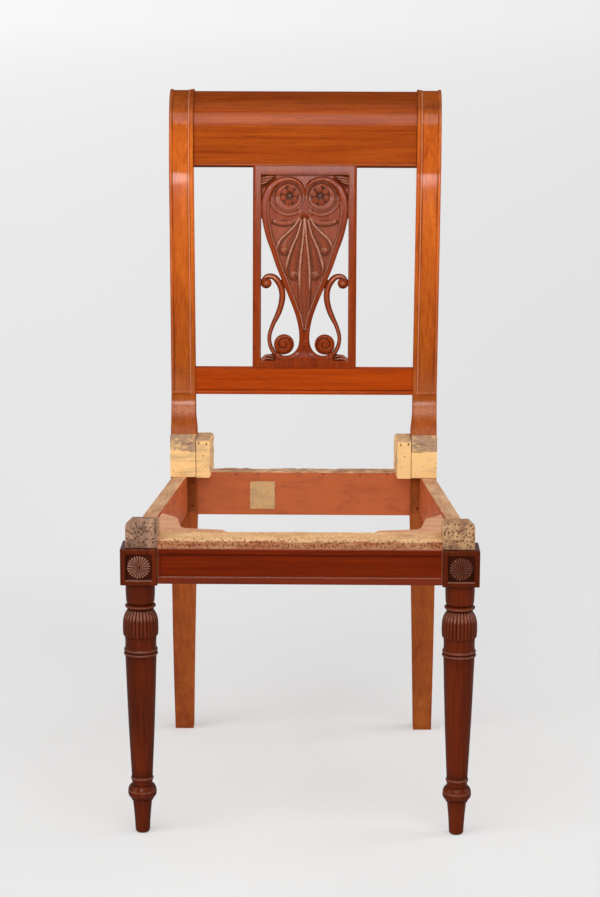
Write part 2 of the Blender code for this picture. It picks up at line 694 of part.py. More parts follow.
def side_seat_rail(hand, side, leg, post):
    outline = [
        (0, SEAT_RAIL_BOTTOM), (0, SIDE_RAIL_TOP - SIDE_RAIL_BEVEL), (SIDE_RAIL_BEVEL, SIDE_RAIL_TOP),
        (SIDE_RAIL_THICK, SIDE_RAIL_TOP), (SIDE_RAIL_THICK, SEAT_RAIL_BOTTOM),
    ]
    front_y = LEG_BLOCK + CLEARANCE
    rear_y = SEAT_DEPTH - CLEARANCE

    def place(inset, z, face):
        y = rear_y if face > 0 else front_y
        return Vector((side * (side_rail_outer(y) - inset), y, z))

    rail = outline_solid(f"side_seat_rail_{hand}", outline, place, SEAT_WOOD)
    low_z = SEAT_RAIL_BOTTOM + SEAT_TENON_SHOULDER
    high_z = LEG_BLOCK_TOP - SEAT_TENON_SHOULDER
    middle = (low_z + high_z) / 2

    def across(y):
        centre = side_rail_outer(y) - SIDE_RAIL_THICK / 2
        return sorted((side * (centre - SIDE_TENON_THICK / 2), side * (centre + SIDE_TENON_THICK / 2)))

    near, far = across(LEG_BLOCK)
    tenon(f"side_rail_front_{hand}", rail, leg, (near, LEG_BLOCK - SIDE_TENON_FRONT_LENGTH, low_z),
          (far, LEG_BLOCK + TENON_ROOT, high_z))
    near, far = across(SEAT_DEPTH)
    tenon(f"side_rail_rear_{hand}", rail, post, (near, SEAT_DEPTH - TENON_ROOT, low_z),
          (far, SEAT_DEPTH + SIDE_TENON_REAR_LENGTH, high_z))

    front_reach = side_rail_outer(LEG_BLOCK) - SIDE_RAIL_THICK / 2 + SIDE_TENON_THICK / 2 - LEG_INNER
    rear_reach = SIDE_RAIL_THICK / 2 + SIDE_TENON_THICK / 2 + CLEARANCE
    mouth = Vector((side * LEG_INNER, LEG_BLOCK - PEG_FROM_SHOULDER, middle))
    peg(f"peg_side_rail_front_{hand}", mouth, Vector((side, 0, 0)), front_reach + PEG_TIP_WALL, (rail, leg))
    for number, sign in enumerate((-1, 1), 1):
        mouth = Vector((side * REAR_WIDTH / 2, SEAT_DEPTH + PEG_FROM_SHOULDER,
                        middle + sign * SEAT_PEG_SPACING / 2))
        peg(f"peg_side_rail_rear_{hand}_{number}", mouth, Vector((-side, 0, 0)), rear_reach, (rail, post))
    return rail


def back_seat_rail(posts):
    rear = BACK_RAIL_FRONT + BACK_RAIL_THICK
    outline = [(BACK_RAIL_FRONT, BACK_RAIL_BOTTOM), (BACK_RAIL_FRONT, BACK_RAIL_TOP),
               (rear, BACK_RAIL_TOP), (rear, BACK_RAIL_BOTTOM)]
    rail = outline_solid("back_seat_rail", outline,
                         lambda y, z, face: Vector((face * (inner_half(z) - CLEARANCE), y, z)), SEAT_WOOD)
    low_z = BACK_RAIL_BOTTOM + SEAT_TENON_SHOULDER
    high_z = BACK_RAIL_TOP - SEAT_TENON_SHOULDER
    middle = (low_z + high_z) / 2
    tenon_front = BACK_RAIL_FRONT + (BACK_RAIL_THICK - BACK_TENON_THICK) / 2
    inner = inner_half(SEAT_RAIL_BOTTOM)
    for hand, side in SIDES.items():
        ends = sorted((side * (inner - TENON_ROOT), side * (inner + BACK_TENON_LENGTH)))
        tenon(f"back_rail_{hand}", rail, posts[hand], (ends[0], tenon_front, low_z),
              (ends[1], tenon_front + BACK_TENON_THICK, high_z))
        for number, sign in enumerate((-1, 1), 1):
            mouth = Vector((side * (inner + PEG_FROM_SHOULDER), SEAT_DEPTH + SEAT_POST_DEPTH,
                            middle + sign * SEAT_PEG_SPACING / 2))
            length = mouth.y - tenon_front + PEG_TIP_WALL / 2
            peg(f"peg_back_rail_{hand}_{number}", mouth, Vector((0, -1, 0)), length, (rail, posts[hand]))
    return rail


# Back

def post_tenon(name, rail, post, side, mark, height):
    """Tenon of a back rail into a stile, square to the profile at this mark."""
    matrix = profile_matrix(mark)
    inner = inner_half(front_at(mark)[1])
    ends = sorted((side * (inner - TENON_ROOT), side * (inner + POST_TENON_LENGTH)))
    tenon(name, rail, post, (ends[0], POST_TENON_BEHIND, -height / 2),
          (ends[1], POST_TENON_BEHIND + POST_TENON_THICK, height / 2), matrix)


def post_peg(name, rail, post, side, mark):
    """Peg from the back of the stile through the tenon."""
    depth = post_depth(mark)
    y, z = behind(mark, depth)
    tilt = front_at(mark)[2]
    mouth = Vector((side * (inner_half(z) + PEG_FROM_SHOULDER), y, z))
    direction = Vector((0, -math.cos(tilt), math.sin(tilt)))
    peg(name, mouth, direction, depth - POST_TENON_BEHIND + PEG_TIP_WALL, (rail, post))


def between_stiles(y, z, face):
    return Vector((face * (inner_half(z) - CLEARANCE), y, z))


def crest_rail(posts):
    """Rolled over with the stiles; its foot is square to the rake, to seat the splat."""
    outline = band(CREST_MARK, ROLL_MARK, CREST_SETBACK, CREST_SETBACK + CREST_THICK)
    front_y, front_z = outline[0]
    outline[-1] = (front_y + CREST_THICK * math.cos(BACK_RAKE), front_z - CREST_THICK * math.sin(BACK_RAKE))
    rail = outline_solid("crest_rail", outline, between_stiles, CREST_WOOD)
    middle = CREST_MARK + CREST_TENON_RISE
    for hand, side in SIDES.items():
        post_tenon(f"crest_{hand}", rail, posts[hand], side, middle, CREST_TENON_HEIGHT)
        for number, sign in enumerate((-1, 1), 1):
            post_peg(f"peg_crest_{hand}_{number}", rail, posts[hand], side,
                     middle + sign * SEAT_PEG_SPACING / 2)
    return rail


def lower_back_rail(posts):
    """Level on top, with a bead along the foot of its face."""
    face = LOWER_RAIL_SETBACK
    foot_back = behind(LOWER_RAIL_MARK, LOWER_RAIL_THICK)
    top_front = behind(LOWER_RAIL_TOP_MARK, face)
    bead_top = LOWER_RAIL_MARK + LOWER_RAIL_BEAD
    head_y = foot_back[0] + (top_front[1] - foot_back[1]) * math.tan(BACK_RAKE)
    outline = [behind(LOWER_RAIL_MARK, 0), behind(bead_top, 0), behind(bead_top, face), top_front,
               (head_y, top_front[1]), foot_back]
    rail = outline_solid("lower_back_rail", outline, between_stiles, STILE_WOOD)
    middle = (LOWER_RAIL_MARK + LOWER_RAIL_TOP_MARK) / 2
    for hand, side in SIDES.items():
        post_tenon(f"lower_rail_{hand}", rail, posts[hand], side, middle,
                   LOWER_RAIL_HEIGHT - 2 * LOWER_TENON_SHOULDER)
        post_peg(f"peg_lower_rail_{hand}", rail, posts[hand], side, middle)
    return rail


# Splat

def splat_height():
    """Visible height of the splat along the rake, from the top of the lower rail to the crest."""
    low_y, low_z = behind(LOWER_RAIL_TOP_MARK, 0)
    high_y, high_z = behind(CREST_MARK, CREST_SETBACK)
    return (high_y - low_y) * math.sin(BACK_RAKE) + (high_z - low_z) * math.cos(BACK_RAKE)


SPLAT_HEIGHT = splat_height()
PANEL_HALF = SPLAT_WIDTH / 2 - SPLAT_SIDE_BORDER
PANEL_TALL = SPLAT_HEIGHT - SPLAT_FOOT_BORDER - SPLAT_HEAD_BORDER


def on_panel(point, hand=1):
    """A drawn point as (across, up) on the splat; hand -1 mirrors it."""
    return hand * point[0] * PANEL_HALF, SPLAT_FOOT_BORDER + point[1] * PANEL_TALL


def smooth_line(points, steps):
    """Curve through the points, each stretch a cubic whose end slopes follow the neighbours."""
    ends = [points[0], *points, points[-1]]
    line = []
    for before, start, end, after in zip(ends, ends[1:], ends[2:], ends[3:]):
        for step in range(steps):
            t = step / steps
            line.append(tuple(
                0.5 * (2 * b + (c - a) * t + (2 * a - 5 * b + 4 * c - d) * t ** 2
                       + (3 * b - a - 3 * c + d) * t ** 3)
                for a, b, c, d in zip(before, start, end, after)))
    return line + [points[-1]]


def ribbon(line, half_width):
    """Outline of a strip along a line; half_width is a function of the share of the way along."""
    left = []
    right = []
    last = len(line) - 1
    for i, (x, y) in enumerate(line):
        before = line[max(0, i - 1)]
        after = line[min(last, i + 1)]
        along = Vector((after[0] - before[0], after[1] - before[1])).normalized()
        half = half_width(i / last)
        left.append((x - along.y * half, y + along.x * half))
        right.append((x + along.y * half, y - along.x * half))
    return left + right[::-1]


def ring(centre, radius, sides, lobe=0.0, lobes=0, squash=1.0):
    """Round outline, wavy when it has lobes."""
    outline = []
    for i in range(sides):
        turn = math.tau * i / sides
        reach = radius + lobe * math.cos(lobes * turn)
        outline.append((centre[0] + reach * math.cos(turn), centre[1] + squash * reach * math.sin(turn)))
    return outline


def leaf(drawn, hand, half):
    """Outline of a leaf: a strip along the bend between base and tip, widest past the middle."""
    base, bend, tip = (Vector(on_panel(point, hand)) for point in drawn)
    line = []
    for i in range(CURVE_STEPS + 1):
        t = i / CURVE_STEPS
        line.append(tuple((1 - t) ** 2 * base + 2 * t * (1 - t) * bend + t ** 2 * tip))
    return ribbon(line, lambda t: half * (0.25 + 0.75 * math.sin(math.pi * min(1.0, 0.15 + 0.75 * t))))


def palmette_splat(crest, lower_rail):
    y, z = behind(LOWER_RAIL_TOP_MARK, SPLAT_SETBACK)

    def seat_on_back(piece):
        piece.location = (0, y, z)
        piece.rotation_euler = (-BACK_RAKE, 0, 0)

    def layer(name, outline, front, back):
        """A flat blank of the carving, between two depths behind the front of the border."""
        blank = outline_solid(name, outline,
                              lambda a, b, face: Vector((a, back if face > 0 else front, b)))
        seat_on_back(blank)
        cutters.objects.unlink(blank)
        carving.objects.link(blank)

    half = SPLAT_WIDTH / 2
    head = SPLAT_HEIGHT - SPLAT_HEAD_BORDER
    splat = box("palmette_splat", (-half, 0, -SPLAT_HOUSING),
                (half, SPLAT_THICK, SPLAT_HEIGHT + SPLAT_HOUSING), material=SPLAT_WOOD)
    opening = box("splat_opening", (-PANEL_HALF, -SPLAT_THICK, SPLAT_FOOT_BORDER),
                  (PANEL_HALF, 2 * SPLAT_THICK, head))
    for piece in (splat, opening):
        seat_on_back(piece)
    combine(splat, opening, "DIFFERENCE")

    lap = SPLAT_SIDE_BORDER / 3
    shoulder_y = on_panel(STRAP_LINE[STRAP_SHOULDER])[1]
    strap_points = [on_panel(point) for point in STRAP_LINE[STRAP_WAIST:STRAP_SHOULDER + 1]]
    right_edge = [(x - STRAP_HALF / 3, y) for x, y in strap_points]
    right_edge += [(PANEL_HALF + lap, shoulder_y + lap), (PANEL_HALF + lap, head + lap)]
    left_edge = [(-x, y) for x, y in reversed(right_edge)]
    back = SPLAT_THICK - CARVING_STEP
    layer("heart_ground", right_edge + left_edge, GROUND_DEPTH, back)

    for hand_name, hand in SIDES.items():
        back -= CARVING_STEP
        strap = [on_panel(point, hand) for point in smooth_line(STRAP_LINE, 2)]
        layer(f"strap_{hand_name}", ribbon(strap, lambda t: STRAP_HALF), STRAP_DEPTH, back)
        back -= CARVING_STEP
        scroll = [on_panel(point, hand) for point in smooth_line(SCROLL_LINE, 3)]
        taper = SCROLL_HEAD_HALF - SCROLL_FOOT_HALF
        scroll_outline = ribbon(scroll, lambda t: SCROLL_HEAD_HALF - taper * t)
        layer(f"scroll_{hand_name}", scroll_outline, SCROLL_DEPTH, back)
        back -= CARVING_STEP
        eye = ring(on_panel(SCROLL_VOLUTE_AT, hand), SPLAT_SCROLL_VOLUTE, ROUND_STEPS)
        layer(f"scroll_eye_{hand_name}", eye, SCROLL_DEPTH + CARVING_STEP, back)
        back -= CARVING_STEP
        volute = ring(on_panel(FOOT_VOLUTE_AT, hand), SPLAT_FOOT_VOLUTE, TURNED_STEPS)
        layer(f"foot_volute_{hand_name}", volute, VOLUTE_DEPTH, back)
        back -= CARVING_STEP
        corner = ring(on_panel(CORNER_LEAF_AT, hand), CORNER_LEAF_WIDE, ROUND_STEPS,
                      squash=CORNER_LEAF_TALL / CORNER_LEAF_WIDE)
        layer(f"corner_leaf_{hand_name}", corner, LEAF_DEPTH, back)
        back -= CARVING_STEP
        flower = ring(on_panel(ROSETTE_AT, hand), SPLAT_ROSETTE, 6 * SPLAT_ROSETTE_PETALS,
                      lobe=SPLAT_ROSETTE_LOBE, lobes=SPLAT_ROSETTE_PETALS)
        layer(f"splat_rosette_{hand_name}", flower, ROSETTE_FIELD_DEPTH, back)
        boss = ring(on_panel(ROSETTE_AT, hand), SPLAT_BOSS, PEG_SIDES)
        layer(f"splat_boss_{hand_name}", boss, BOSS_DEPTH, back - CARVING_STEP)

    front = LEAF_DEPTH
    back = (GROUND_DEPTH + SPLAT_THICK) / 2
    leaves = [("centre", leaf(CENTRE_LEAF_LINE, 1, CENTRE_LEAF))]
    for hand_name, hand in SIDES.items():
        leaves.append((f"long_{hand_name}", leaf(LONG_LEAF_LINE, hand, LONG_LEAF)))
        leaves.append((f"short_{hand_name}", leaf(SHORT_LEAF_LINE, hand, SHORT_LEAF)))
        leaves.append((f"lip_{hand_name}", leaf(LIP_LEAF_LINE, hand, LIP_LEAF)))
    for name, outline in leaves:
        front += CARVING_STEP
        back += CARVING_STEP
        layer(f"leaf_{name}", outline, front, back)

    joined = splat.modifiers.new("carving", "BOOLEAN")
    joined.operation = "UNION"
    joined.operand_type = "COLLECTION"
    joined.collection = carving
    joined.solver = "EXACT"

    edge = half + CLEARANCE
    depth = SPLAT_THICK + CLEARANCE
    foot = -SPLAT_HOUSING - CLEARANCE
    for name, rail, low, high in (("foot", lower_rail, foot, LOWER_RAIL_HEIGHT),
                                  ("head", crest, head, SPLAT_HEIGHT + SPLAT_HOUSING + CLEARANCE)):
        housing = box(f"splat_{name}_housing", (-edge, -CLEARANCE, low), (edge, depth, high))
        seat_on_back(housing)
        combine(rail, housing, "DIFFERENCE")
    return splat


# Tacking blocks and braces

def face_block(hand, side):
    """Facing in front of the stile, standing on the side rail, its back hollowed to the stile's sweep."""
    low = SIDE_RAIL_TOP + CLEARANCE
    high = low + FACE_BLOCK_HEIGHT
    marks = marks_between(mark_at_height(low), mark_at_height(high))
    back = [behind(mark, -CLEARANCE) for mark in reversed(marks)]
    outline = [(BLOCK_FRONT, low), (BLOCK_FRONT, high), *back]

    def place(y, z, face):
        return Vector((side * (outer_half(z) if face > 0 else inner_half(z)), y, z))

    return outline_solid(f"stile_face_block_{hand}", outline, place, BLOCK_WOOD)


def inner_block(hand, side):
    """Block on the inner side of the stile, notched over the back rail, with a rounded top corner."""
    low = SIDE_RAIL_TOP - INNER_BLOCK_DROP
    high = low + INNER_BLOCK_HEIGHT
    outer = inner_half(SEAT_RAIL_BOTTOM) - CLEARANCE
    inner = outer - INNER_BLOCK_WIDTH
    turns = [math.pi / 2 * i / 3 for i in range(4)]
    rounding = [(inner + INNER_BLOCK_ROUNDING * (1 - math.sin(turn)),
                 high - INNER_BLOCK_ROUNDING * (1 - math.cos(turn))) for turn in turns]
    outline = [(outer, low), (outer, high), *rounding, (inner, low)]

    def place(x, z, face):
        if face < 0:
            return Vector((side * x, BLOCK_FRONT, z))
        spread = INNER_BLOCK_WIDEN * (outer - x) / INNER_BLOCK_WIDTH
        return Vector((side * (x - spread), BLOCK_FRONT + INNER_BLOCK_DEPTH, z))

    block = outline_solid(f"stile_inner_block_{hand}", outline, place, BLOCK_WOOD)
    reach = INNER_BLOCK_WIDTH + INNER_BLOCK_WIDEN
    ends = sorted((side * (outer - 2 * reach), side * (outer + reach)))
    notch = box(f"back_rail_notch_{hand}", (ends[0], BACK_RAIL_FRONT - CLEARANCE, low - reach),
                (ends[1], BLOCK_FRONT + 2 * INNER_BLOCK_DEPTH, BACK_RAIL_TOP + CLEARANCE))
    combine(block, notch, "DIFFERENCE")
    return block


def corner_brace(hand, side):
    """Bracket in a front corner of the seat, fitted round the leg: two arms with slanted ends, which meet in an
    eased inner corner."""
    front = FRONT_RAIL_BACK + CLEARANCE
    leg_side = LEG_INNER - CLEARANCE
    leg_back = LEG_BLOCK + CLEARANCE
    rear = FRONT_RAIL_BACK + BRACE_SIDE_REACH
    toe = LEG_INNER - BRACE_FRONT_REACH
    shoulder = rear - BRACE_SIDE_SLANT

    def against_rail(y):
        return side_rail_outer(y) - SIDE_RAIL_THICK - 2 * CLEARANCE

    start = Vector((against_rail(shoulder) - BRACE_ARM, shoulder))
    end = Vector((toe + BRACE_FRONT_SLANT, front + BRACE_DEPTH))
    corner = Vector((start.x - BRACE_WEB, end.y + BRACE_WEB))
    to_start = (start - corner).normalized() * BRACE_EASING
    to_end = (end - corner).normalized() * BRACE_EASING
    eased = []
    for i in range(ROUND_STEPS + 1):
        t = i / ROUND_STEPS
        eased.append(tuple(corner + to_start * (1 - t) ** 2 + to_end * t ** 2))
    outline = [(toe, front), (leg_side, front), (leg_side, leg_back), (against_rail(leg_back), leg_back),
               (against_rail(rear), rear), tuple(start), *eased, tuple(end)]
    high = SIDE_RAIL_TOP - BRACE_BELOW_TOP
    return outline_solid(
        f"corner_brace_{hand}", outline,
        lambda x, y, face: Vector((side * x, y, high if face > 0 else high - BRACE_HEIGHT)), BRACE_WOOD)


# Assembly

front_legs = {hand: front_leg(hand, side) for hand, side in SIDES.items()}
stiles = {hand: stile(hand, side) for hand, side in SIDES.items()}
front_seat_rail(front_legs)
back_seat_rail(stiles)
crest = crest_rail(stiles)
lower_rail = lower_back_rail(stiles)
palmette_splat(crest, lower_rail)
for hand, side in SIDES.items():
    side_seat_rail(hand, side, front_legs[hand], stiles[hand])
    face_block(hand, side)
    inner_block(hand, side)
    corner_brace(hand, side)
    stile_recess(hand, side, stiles[hand])
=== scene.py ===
import math

import bpy
import numpy as np
from mathutils import Matrix, Vector


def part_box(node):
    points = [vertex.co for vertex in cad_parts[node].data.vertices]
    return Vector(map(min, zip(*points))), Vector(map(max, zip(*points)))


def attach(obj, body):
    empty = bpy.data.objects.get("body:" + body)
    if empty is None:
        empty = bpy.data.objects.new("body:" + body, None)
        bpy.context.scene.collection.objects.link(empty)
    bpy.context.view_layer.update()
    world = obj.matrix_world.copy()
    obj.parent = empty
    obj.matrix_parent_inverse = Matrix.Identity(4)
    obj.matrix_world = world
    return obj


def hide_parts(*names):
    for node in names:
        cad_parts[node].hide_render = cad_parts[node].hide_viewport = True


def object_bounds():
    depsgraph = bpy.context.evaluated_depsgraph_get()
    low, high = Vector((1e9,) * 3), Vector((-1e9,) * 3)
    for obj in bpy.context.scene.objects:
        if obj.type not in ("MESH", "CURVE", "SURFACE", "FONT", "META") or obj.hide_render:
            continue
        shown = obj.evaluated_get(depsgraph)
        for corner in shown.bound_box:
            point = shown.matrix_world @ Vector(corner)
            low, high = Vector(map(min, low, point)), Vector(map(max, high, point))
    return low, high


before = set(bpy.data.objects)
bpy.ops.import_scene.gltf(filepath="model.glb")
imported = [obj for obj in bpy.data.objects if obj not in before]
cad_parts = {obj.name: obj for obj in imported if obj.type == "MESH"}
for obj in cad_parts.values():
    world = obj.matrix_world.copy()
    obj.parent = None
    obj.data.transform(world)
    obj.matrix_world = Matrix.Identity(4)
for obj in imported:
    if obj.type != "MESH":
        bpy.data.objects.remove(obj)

CAD_LOW, CAD_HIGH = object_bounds()

bl_info = {
    "name": "Palmette back chair",
    "version": (1, 0, 0),
    "blender": (4, 5, 0),
    "location": "3D View > Sidebar > Chair",
    "description": "Builds the finished surfaces of a carved mahogany side chair over its working parts",
    "category": "Add Mesh",
}

# Places and sizes shared with the working parts, in metres; depths run back from the front of the legs

SIDES = {"left": -1, "right": 1}
FRONT = CAD_LOW.y
FRONT_WIDTH = 2 * CAD_HIGH.x
REAR_WIDTH = 0.3760
SEAT_DEPTH = 0.3900
SEAM = 0.0003

FOOT_HEIGHT = 0.0440
KNOB_LOWER_HEIGHT = 0.0107
KNOB_UPPER_HEIGHT = 0.0104
ANKLE_HEIGHT = 0.0064
ANKLE_RING_HEIGHT = 0.0057
SHAFT_HEIGHT = 0.1622
COLLAR_HEIGHT = 0.0104
BAND_HEIGHT = 0.0157
BULB_HEIGHT = 0.0350
NECK_RING_HEIGHT = 0.0078
CUP_HEIGHT = 0.0285
LEG_STACK = (
    FOOT_HEIGHT, KNOB_LOWER_HEIGHT, KNOB_UPPER_HEIGHT, ANKLE_HEIGHT, ANKLE_RING_HEIGHT, SHAFT_HEIGHT,
    COLLAR_HEIGHT, BAND_HEIGHT, BULB_HEIGHT, NECK_RING_HEIGHT, CUP_HEIGHT,
)
LEG_LEVELS = np.concatenate([[0.0], np.cumsum(LEG_STACK)])
FOOT_FLAT_RADIUS = 0.0054
FOOT_ROUNDING = 0.0040
FOOT_TOP_RADIUS = 0.0125
FOOT_RING_RADIUS = 0.0145
FOOT_RING_HEIGHT = 0.0034
KNOB_RADIUS = 0.0186
ANKLE_RADIUS = 0.0137
ANKLE_RING_RADIUS = 0.0150
SHAFT_FOOT_RADIUS = 0.0136
SHAFT_HEAD_RADIUS = 0.0200
COLLAR_RADIUS = 0.0217
BAND_RADIUS = 0.0205
BULB_RADIUS = 0.0227
BULB_NECK_RADIUS = 0.0163
NECK_RING_RADIUS = 0.0192
CUP_FOOT_RADIUS = 0.0174
CUP_HEAD_RADIUS = 0.0187
CUP_COLLAR_HEIGHT = 0.0034
REED_STEPS = 8
# Where a painted glint lies on each ring of a turned leg: a share of the way from one profile level to the
# next.
RING_BELOW = [2, 4, 6, 6, 9]
RING_ABOVE = [3, 5, 7, 7, 10]
RING_SHARE = [0.3, 0.6, 0.3, 0.8, 0.6]

LEG_BLOCK = 0.0472
LEG_BLOCK_HEIGHT = 0.0474
LEG_BLOCK_BOTTOM = sum(LEG_STACK)
LEG_BLOCK_TOP = LEG_BLOCK_BOTTOM + LEG_BLOCK_HEIGHT
LEG_INNER = FRONT_WIDTH / 2 - LEG_BLOCK
UPPER_BLOCK_FACE = 0.0282
UPPER_BLOCK_CHAMFER = 0.0080
UPPER_BLOCK_SETBACK = 0.0065
UPPER_BLOCK_FLAT = 0.0110
UPPER_BLOCK_SLOPE = math.radians(30)

SEAT_RAIL_BOTTOM = LEG_BLOCK_BOTTOM + 0.0021
FRONT_RAIL_FACE = 0.0020
FRONT_RAIL_BACK = 0.0330
FRONT_FOOT_FILLET = 0.0090
FRONT_PANEL = 0.0295
FRONT_HEAD_FILLET = 0.0077
FRONT_PANEL_DEPTH = 0.0012
FRONT_PANEL_END = 0.0030
FRONT_BEVEL = 0.0108
FRONT_TOP_RISE = 0.0040
SIDE_RAIL_THICK = 0.0235
SIDE_RAIL_TOP = SEAT_RAIL_BOTTOM + 0.0549
SIDE_RAIL_INSET = 0.0060
SIDE_RAIL_BEVEL = 0.0045
BACK_RAIL_FRONT = SEAT_DEPTH + 0.0080
BACK_RAIL_THICK = 0.0250
BACK_RAIL_BOTTOM = SEAT_RAIL_BOTTOM - 0.0034
BACK_RAIL_TOP = BACK_RAIL_BOTTOM + 0.0627

REAR_FOOT_SETBACK = 0.0580
CONSOLE_LEVEL = 0.4200
CONSOLE_TILT = math.radians(30)
CONSOLE_LOWER_RADIUS = 0.0900
CONSOLE_UPPER_RADIUS = 0.1100
BACK_RAKE = math.radians(7)
BACK_STRAIGHT = 0.2985
NECK_TILT = math.radians(27)
NECK_RADIUS = 0.3000
ROLL_END = math.radians(160)
ROLL_RADIUS = 0.0480
ROLL_NOSE = 0.0080
STILE_WIDTH = 0.0340
SEAT_POST_WIDTH = 0.0365
POST_FLARE_HEIGHT = 0.0220
TOP_WIDTH = 0.3855
REAR_FOOT_WIDTH = 0.0265
REAR_FOOT_DEPTH = 0.0255
SEAT_POST_DEPTH = 0.0400
BACK_POST_DEPTH = 0.0240
CREST_ABOVE_NECK = 0.0235
CREST_SETBACK = 0.0030
CREST_THICK = 0.0205
LOWER_RAIL_HEIGHT = 0.0362
LOWER_RAIL_THICK = 0.0220
LOWER_RAIL_SETBACK = 0.0015
LOWER_RAIL_BEAD = 0.0055

REAR_LEG_RADIUS = (SEAT_RAIL_BOTTOM ** 2 + REAR_FOOT_SETBACK ** 2) / (2 * REAR_FOOT_SETBACK)
REAR_LEG_ANGLE = math.asin(SEAT_RAIL_BOTTOM / REAR_LEG_RADIUS)
STILE_STRETCHES = (
    (REAR_LEG_RADIUS * REAR_LEG_ANGLE, 1 / REAR_LEG_RADIUS),
    (CONSOLE_LEVEL - SEAT_RAIL_BOTTOM, 0.0),
    (CONSOLE_LOWER_RADIUS * CONSOLE_TILT, 1 / CONSOLE_LOWER_RADIUS),
    (CONSOLE_UPPER_RADIUS * (CONSOLE_TILT - BACK_RAKE), -1 / CONSOLE_UPPER_RADIUS),
    (BACK_STRAIGHT, 0.0),
    (NECK_RADIUS * (NECK_TILT - BACK_RAKE), 1 / NECK_RADIUS),
    (ROLL_RADIUS * (ROLL_END - NECK_TILT), 1 / ROLL_RADIUS),
)
STILE_MARKS = np.concatenate([[0.0], np.cumsum([length for length, _ in STILE_STRETCHES])])
(_, LEG_MARK, CONSOLE_MARK, _, LOWER_RAIL_MARK, NECK_MARK, _, ROLL_MARK) = STILE_MARKS
LOWER_RAIL_TOP_MARK = LOWER_RAIL_MARK + LOWER_RAIL_HEIGHT
CREST_MARK = NECK_MARK + CREST_ABOVE_NECK

BLOCK_FRONT = SEAT_DEPTH - 0.0110
FACE_BLOCK_HEIGHT = 0.0586
FACE_BLOCK_BAND = 0.0374
POST_FLARE_LEVEL = SIDE_RAIL_TOP + FACE_BLOCK_HEIGHT + 0.0020
INNER_BLOCK_WIDTH = 0.0188
INNER_BLOCK_DEPTH = 0.0450
INNER_BLOCK_HEIGHT = 0.0560
INNER_BLOCK_DROP = 0.0004
INNER_BLOCK_WIDEN = 0.0038
BRACE_HEIGHT = 0.0420
BRACE_BELOW_TOP = 0.0012
BRACE_FRONT_REACH = 0.1030
BRACE_SIDE_REACH = 0.1330
BRACE_ARM = 0.0252
BRACE_WEB = 0.0085
BRACE_DEPTH = 0.0407
BRACE_FRONT_SLANT = 0.0230
BRACE_SIDE_SLANT = 0.0255
BRACE_EASING = 0.0100
PEG_RADIUS = 0.0030
STILE_HOLES = {
    "left": ((0.0062, 0.3846, 2.3), (0.0064, 0.3496, 2.4)),
    "right": ((0.0112, 0.3471, 2.4),),
}
FILLET_DEPTH = 0.0007
FAR_BELOW = 9.0
CONSOLE_SHEEN = 0.486
STILE_FADE = 0.78
STILE_DUST = 0.56
LABEL_AT = (-0.0584, 0.3644)
LABEL_STEPS = 25
LID_RINGS = 12
PEG_STEPS = 18
CORNER_STEPS = 4
EASED_STEPS = 5
SIDE_SHARE = 2.2
MARK_TURN = 0.04
NOISE_CELLS = 128
CREASE = math.radians(35)
CARVED_CREASE = math.radians(55)

# The splat and its carving, in millimetres: across from the middle, up from the top of the lower rail

SPLAT_HALF = 73.2
SPLAT_THICK = 12.0
SPLAT_SETBACK = 0.0040
SPLAT_HOUSED = 6.0
SPLAT_SIDE_BORDER = 11.5
SPLAT_FOOT_BORDER = 11.7
SPLAT_HEAD_BORDER = 12.4
PANEL_HALF = SPLAT_HALF - SPLAT_SIDE_BORDER
STRAP_LINE = (
    (40.0, 21.0), (31.0, 15.5), (20.0, 16.0), (10.5, 22.0), (4.6, 33.0), (3.6, 50.0), (7.0, 70.0),
    (12.5, 87.0), (19.2, 104.0), (27.8, 125.0), (36.4, 146.0), (43.5, 168.0), (49.8, 186.0), (54.6, 208.0),
    (56.2, 226.0), (53.8, 243.5), (46.8, 257.0), (35.5, 264.8), (23.0, 267.3), (11.5, 264.0), (4.2, 256.5),
    (0.9, 247.5),
)
STRAP_HALVES = (
    (0.0, 3.0), (0.06, 3.3), (0.13, 3.7), (0.3, 3.7), (0.5, 4.0), (0.61, 4.6), (0.68, 5.2), (0.74, 5.6),
    (0.79, 5.2), (0.84, 4.2), (0.88, 3.3), (0.92, 2.7), (0.96, 2.3), (1.0, 1.4),
)
SCROLL_LINE = (
    (59.0, 124.0), (55.0, 129.4), (48.6, 131.0), (42.4, 128.8), (37.4, 123.2), (33.4, 115.5), (31.5, 106.5),
    (31.9, 96.5), (34.6, 85.0), (38.8, 74.4), (44.4, 63.0), (48.7, 50.5), (49.7, 41.5), (48.2, 33.0),
    (45.6, 27.0), (42.5, 22.0),
)
SCROLL_HALVES = (
    (0.0, 2.6), (0.08, 3.6), (0.18, 4.4), (0.4, 4.3), (0.55, 3.9), (0.68, 3.0), (0.85, 2.7), (1.0, 3.0),
)
SCROLL_VOLUTE_AT = (54.2, 121.0)
SCROLL_VOLUTE = 7.5
FOOT_VOLUTE_AT = (28.8, 34.4)
FOOT_VOLUTE = 14.2
FOOT_WEB = (
    (0.0, 39.0), (2.0, 34.0), (4.0, 27.0), (8.0, 21.0), (16.0, 17.5), (30.0, 15.6), (42.0, 18.5),
    (47.0, 20.6), (55.0, 19.8), (60.0, 16.0), (62.0, 13.0),
)
EYE_AT = (23.2, 243.0)
EYE = 20.8
FLOWER_AT = (21.5, 244.0)
FLOWER_REACH = 9.6
PETAL = 4.7
FLOWER_PETALS = 6
FLOWER_TURN = 0.33
KNOT_LEVEL = 216.0
HEART_FOOT = 56
LEAF_HEAD = 212
SHORT_FOOT = 163.0
LONG_FOOT = 129.0
LIP_LINE = (
    (42.4, 208.4), (36.5, 206.0), (28.0, 205.2), (19.5, 206.4), (12.5, 210.2), (7.5, 215.2), (4.2, 220.0),
)
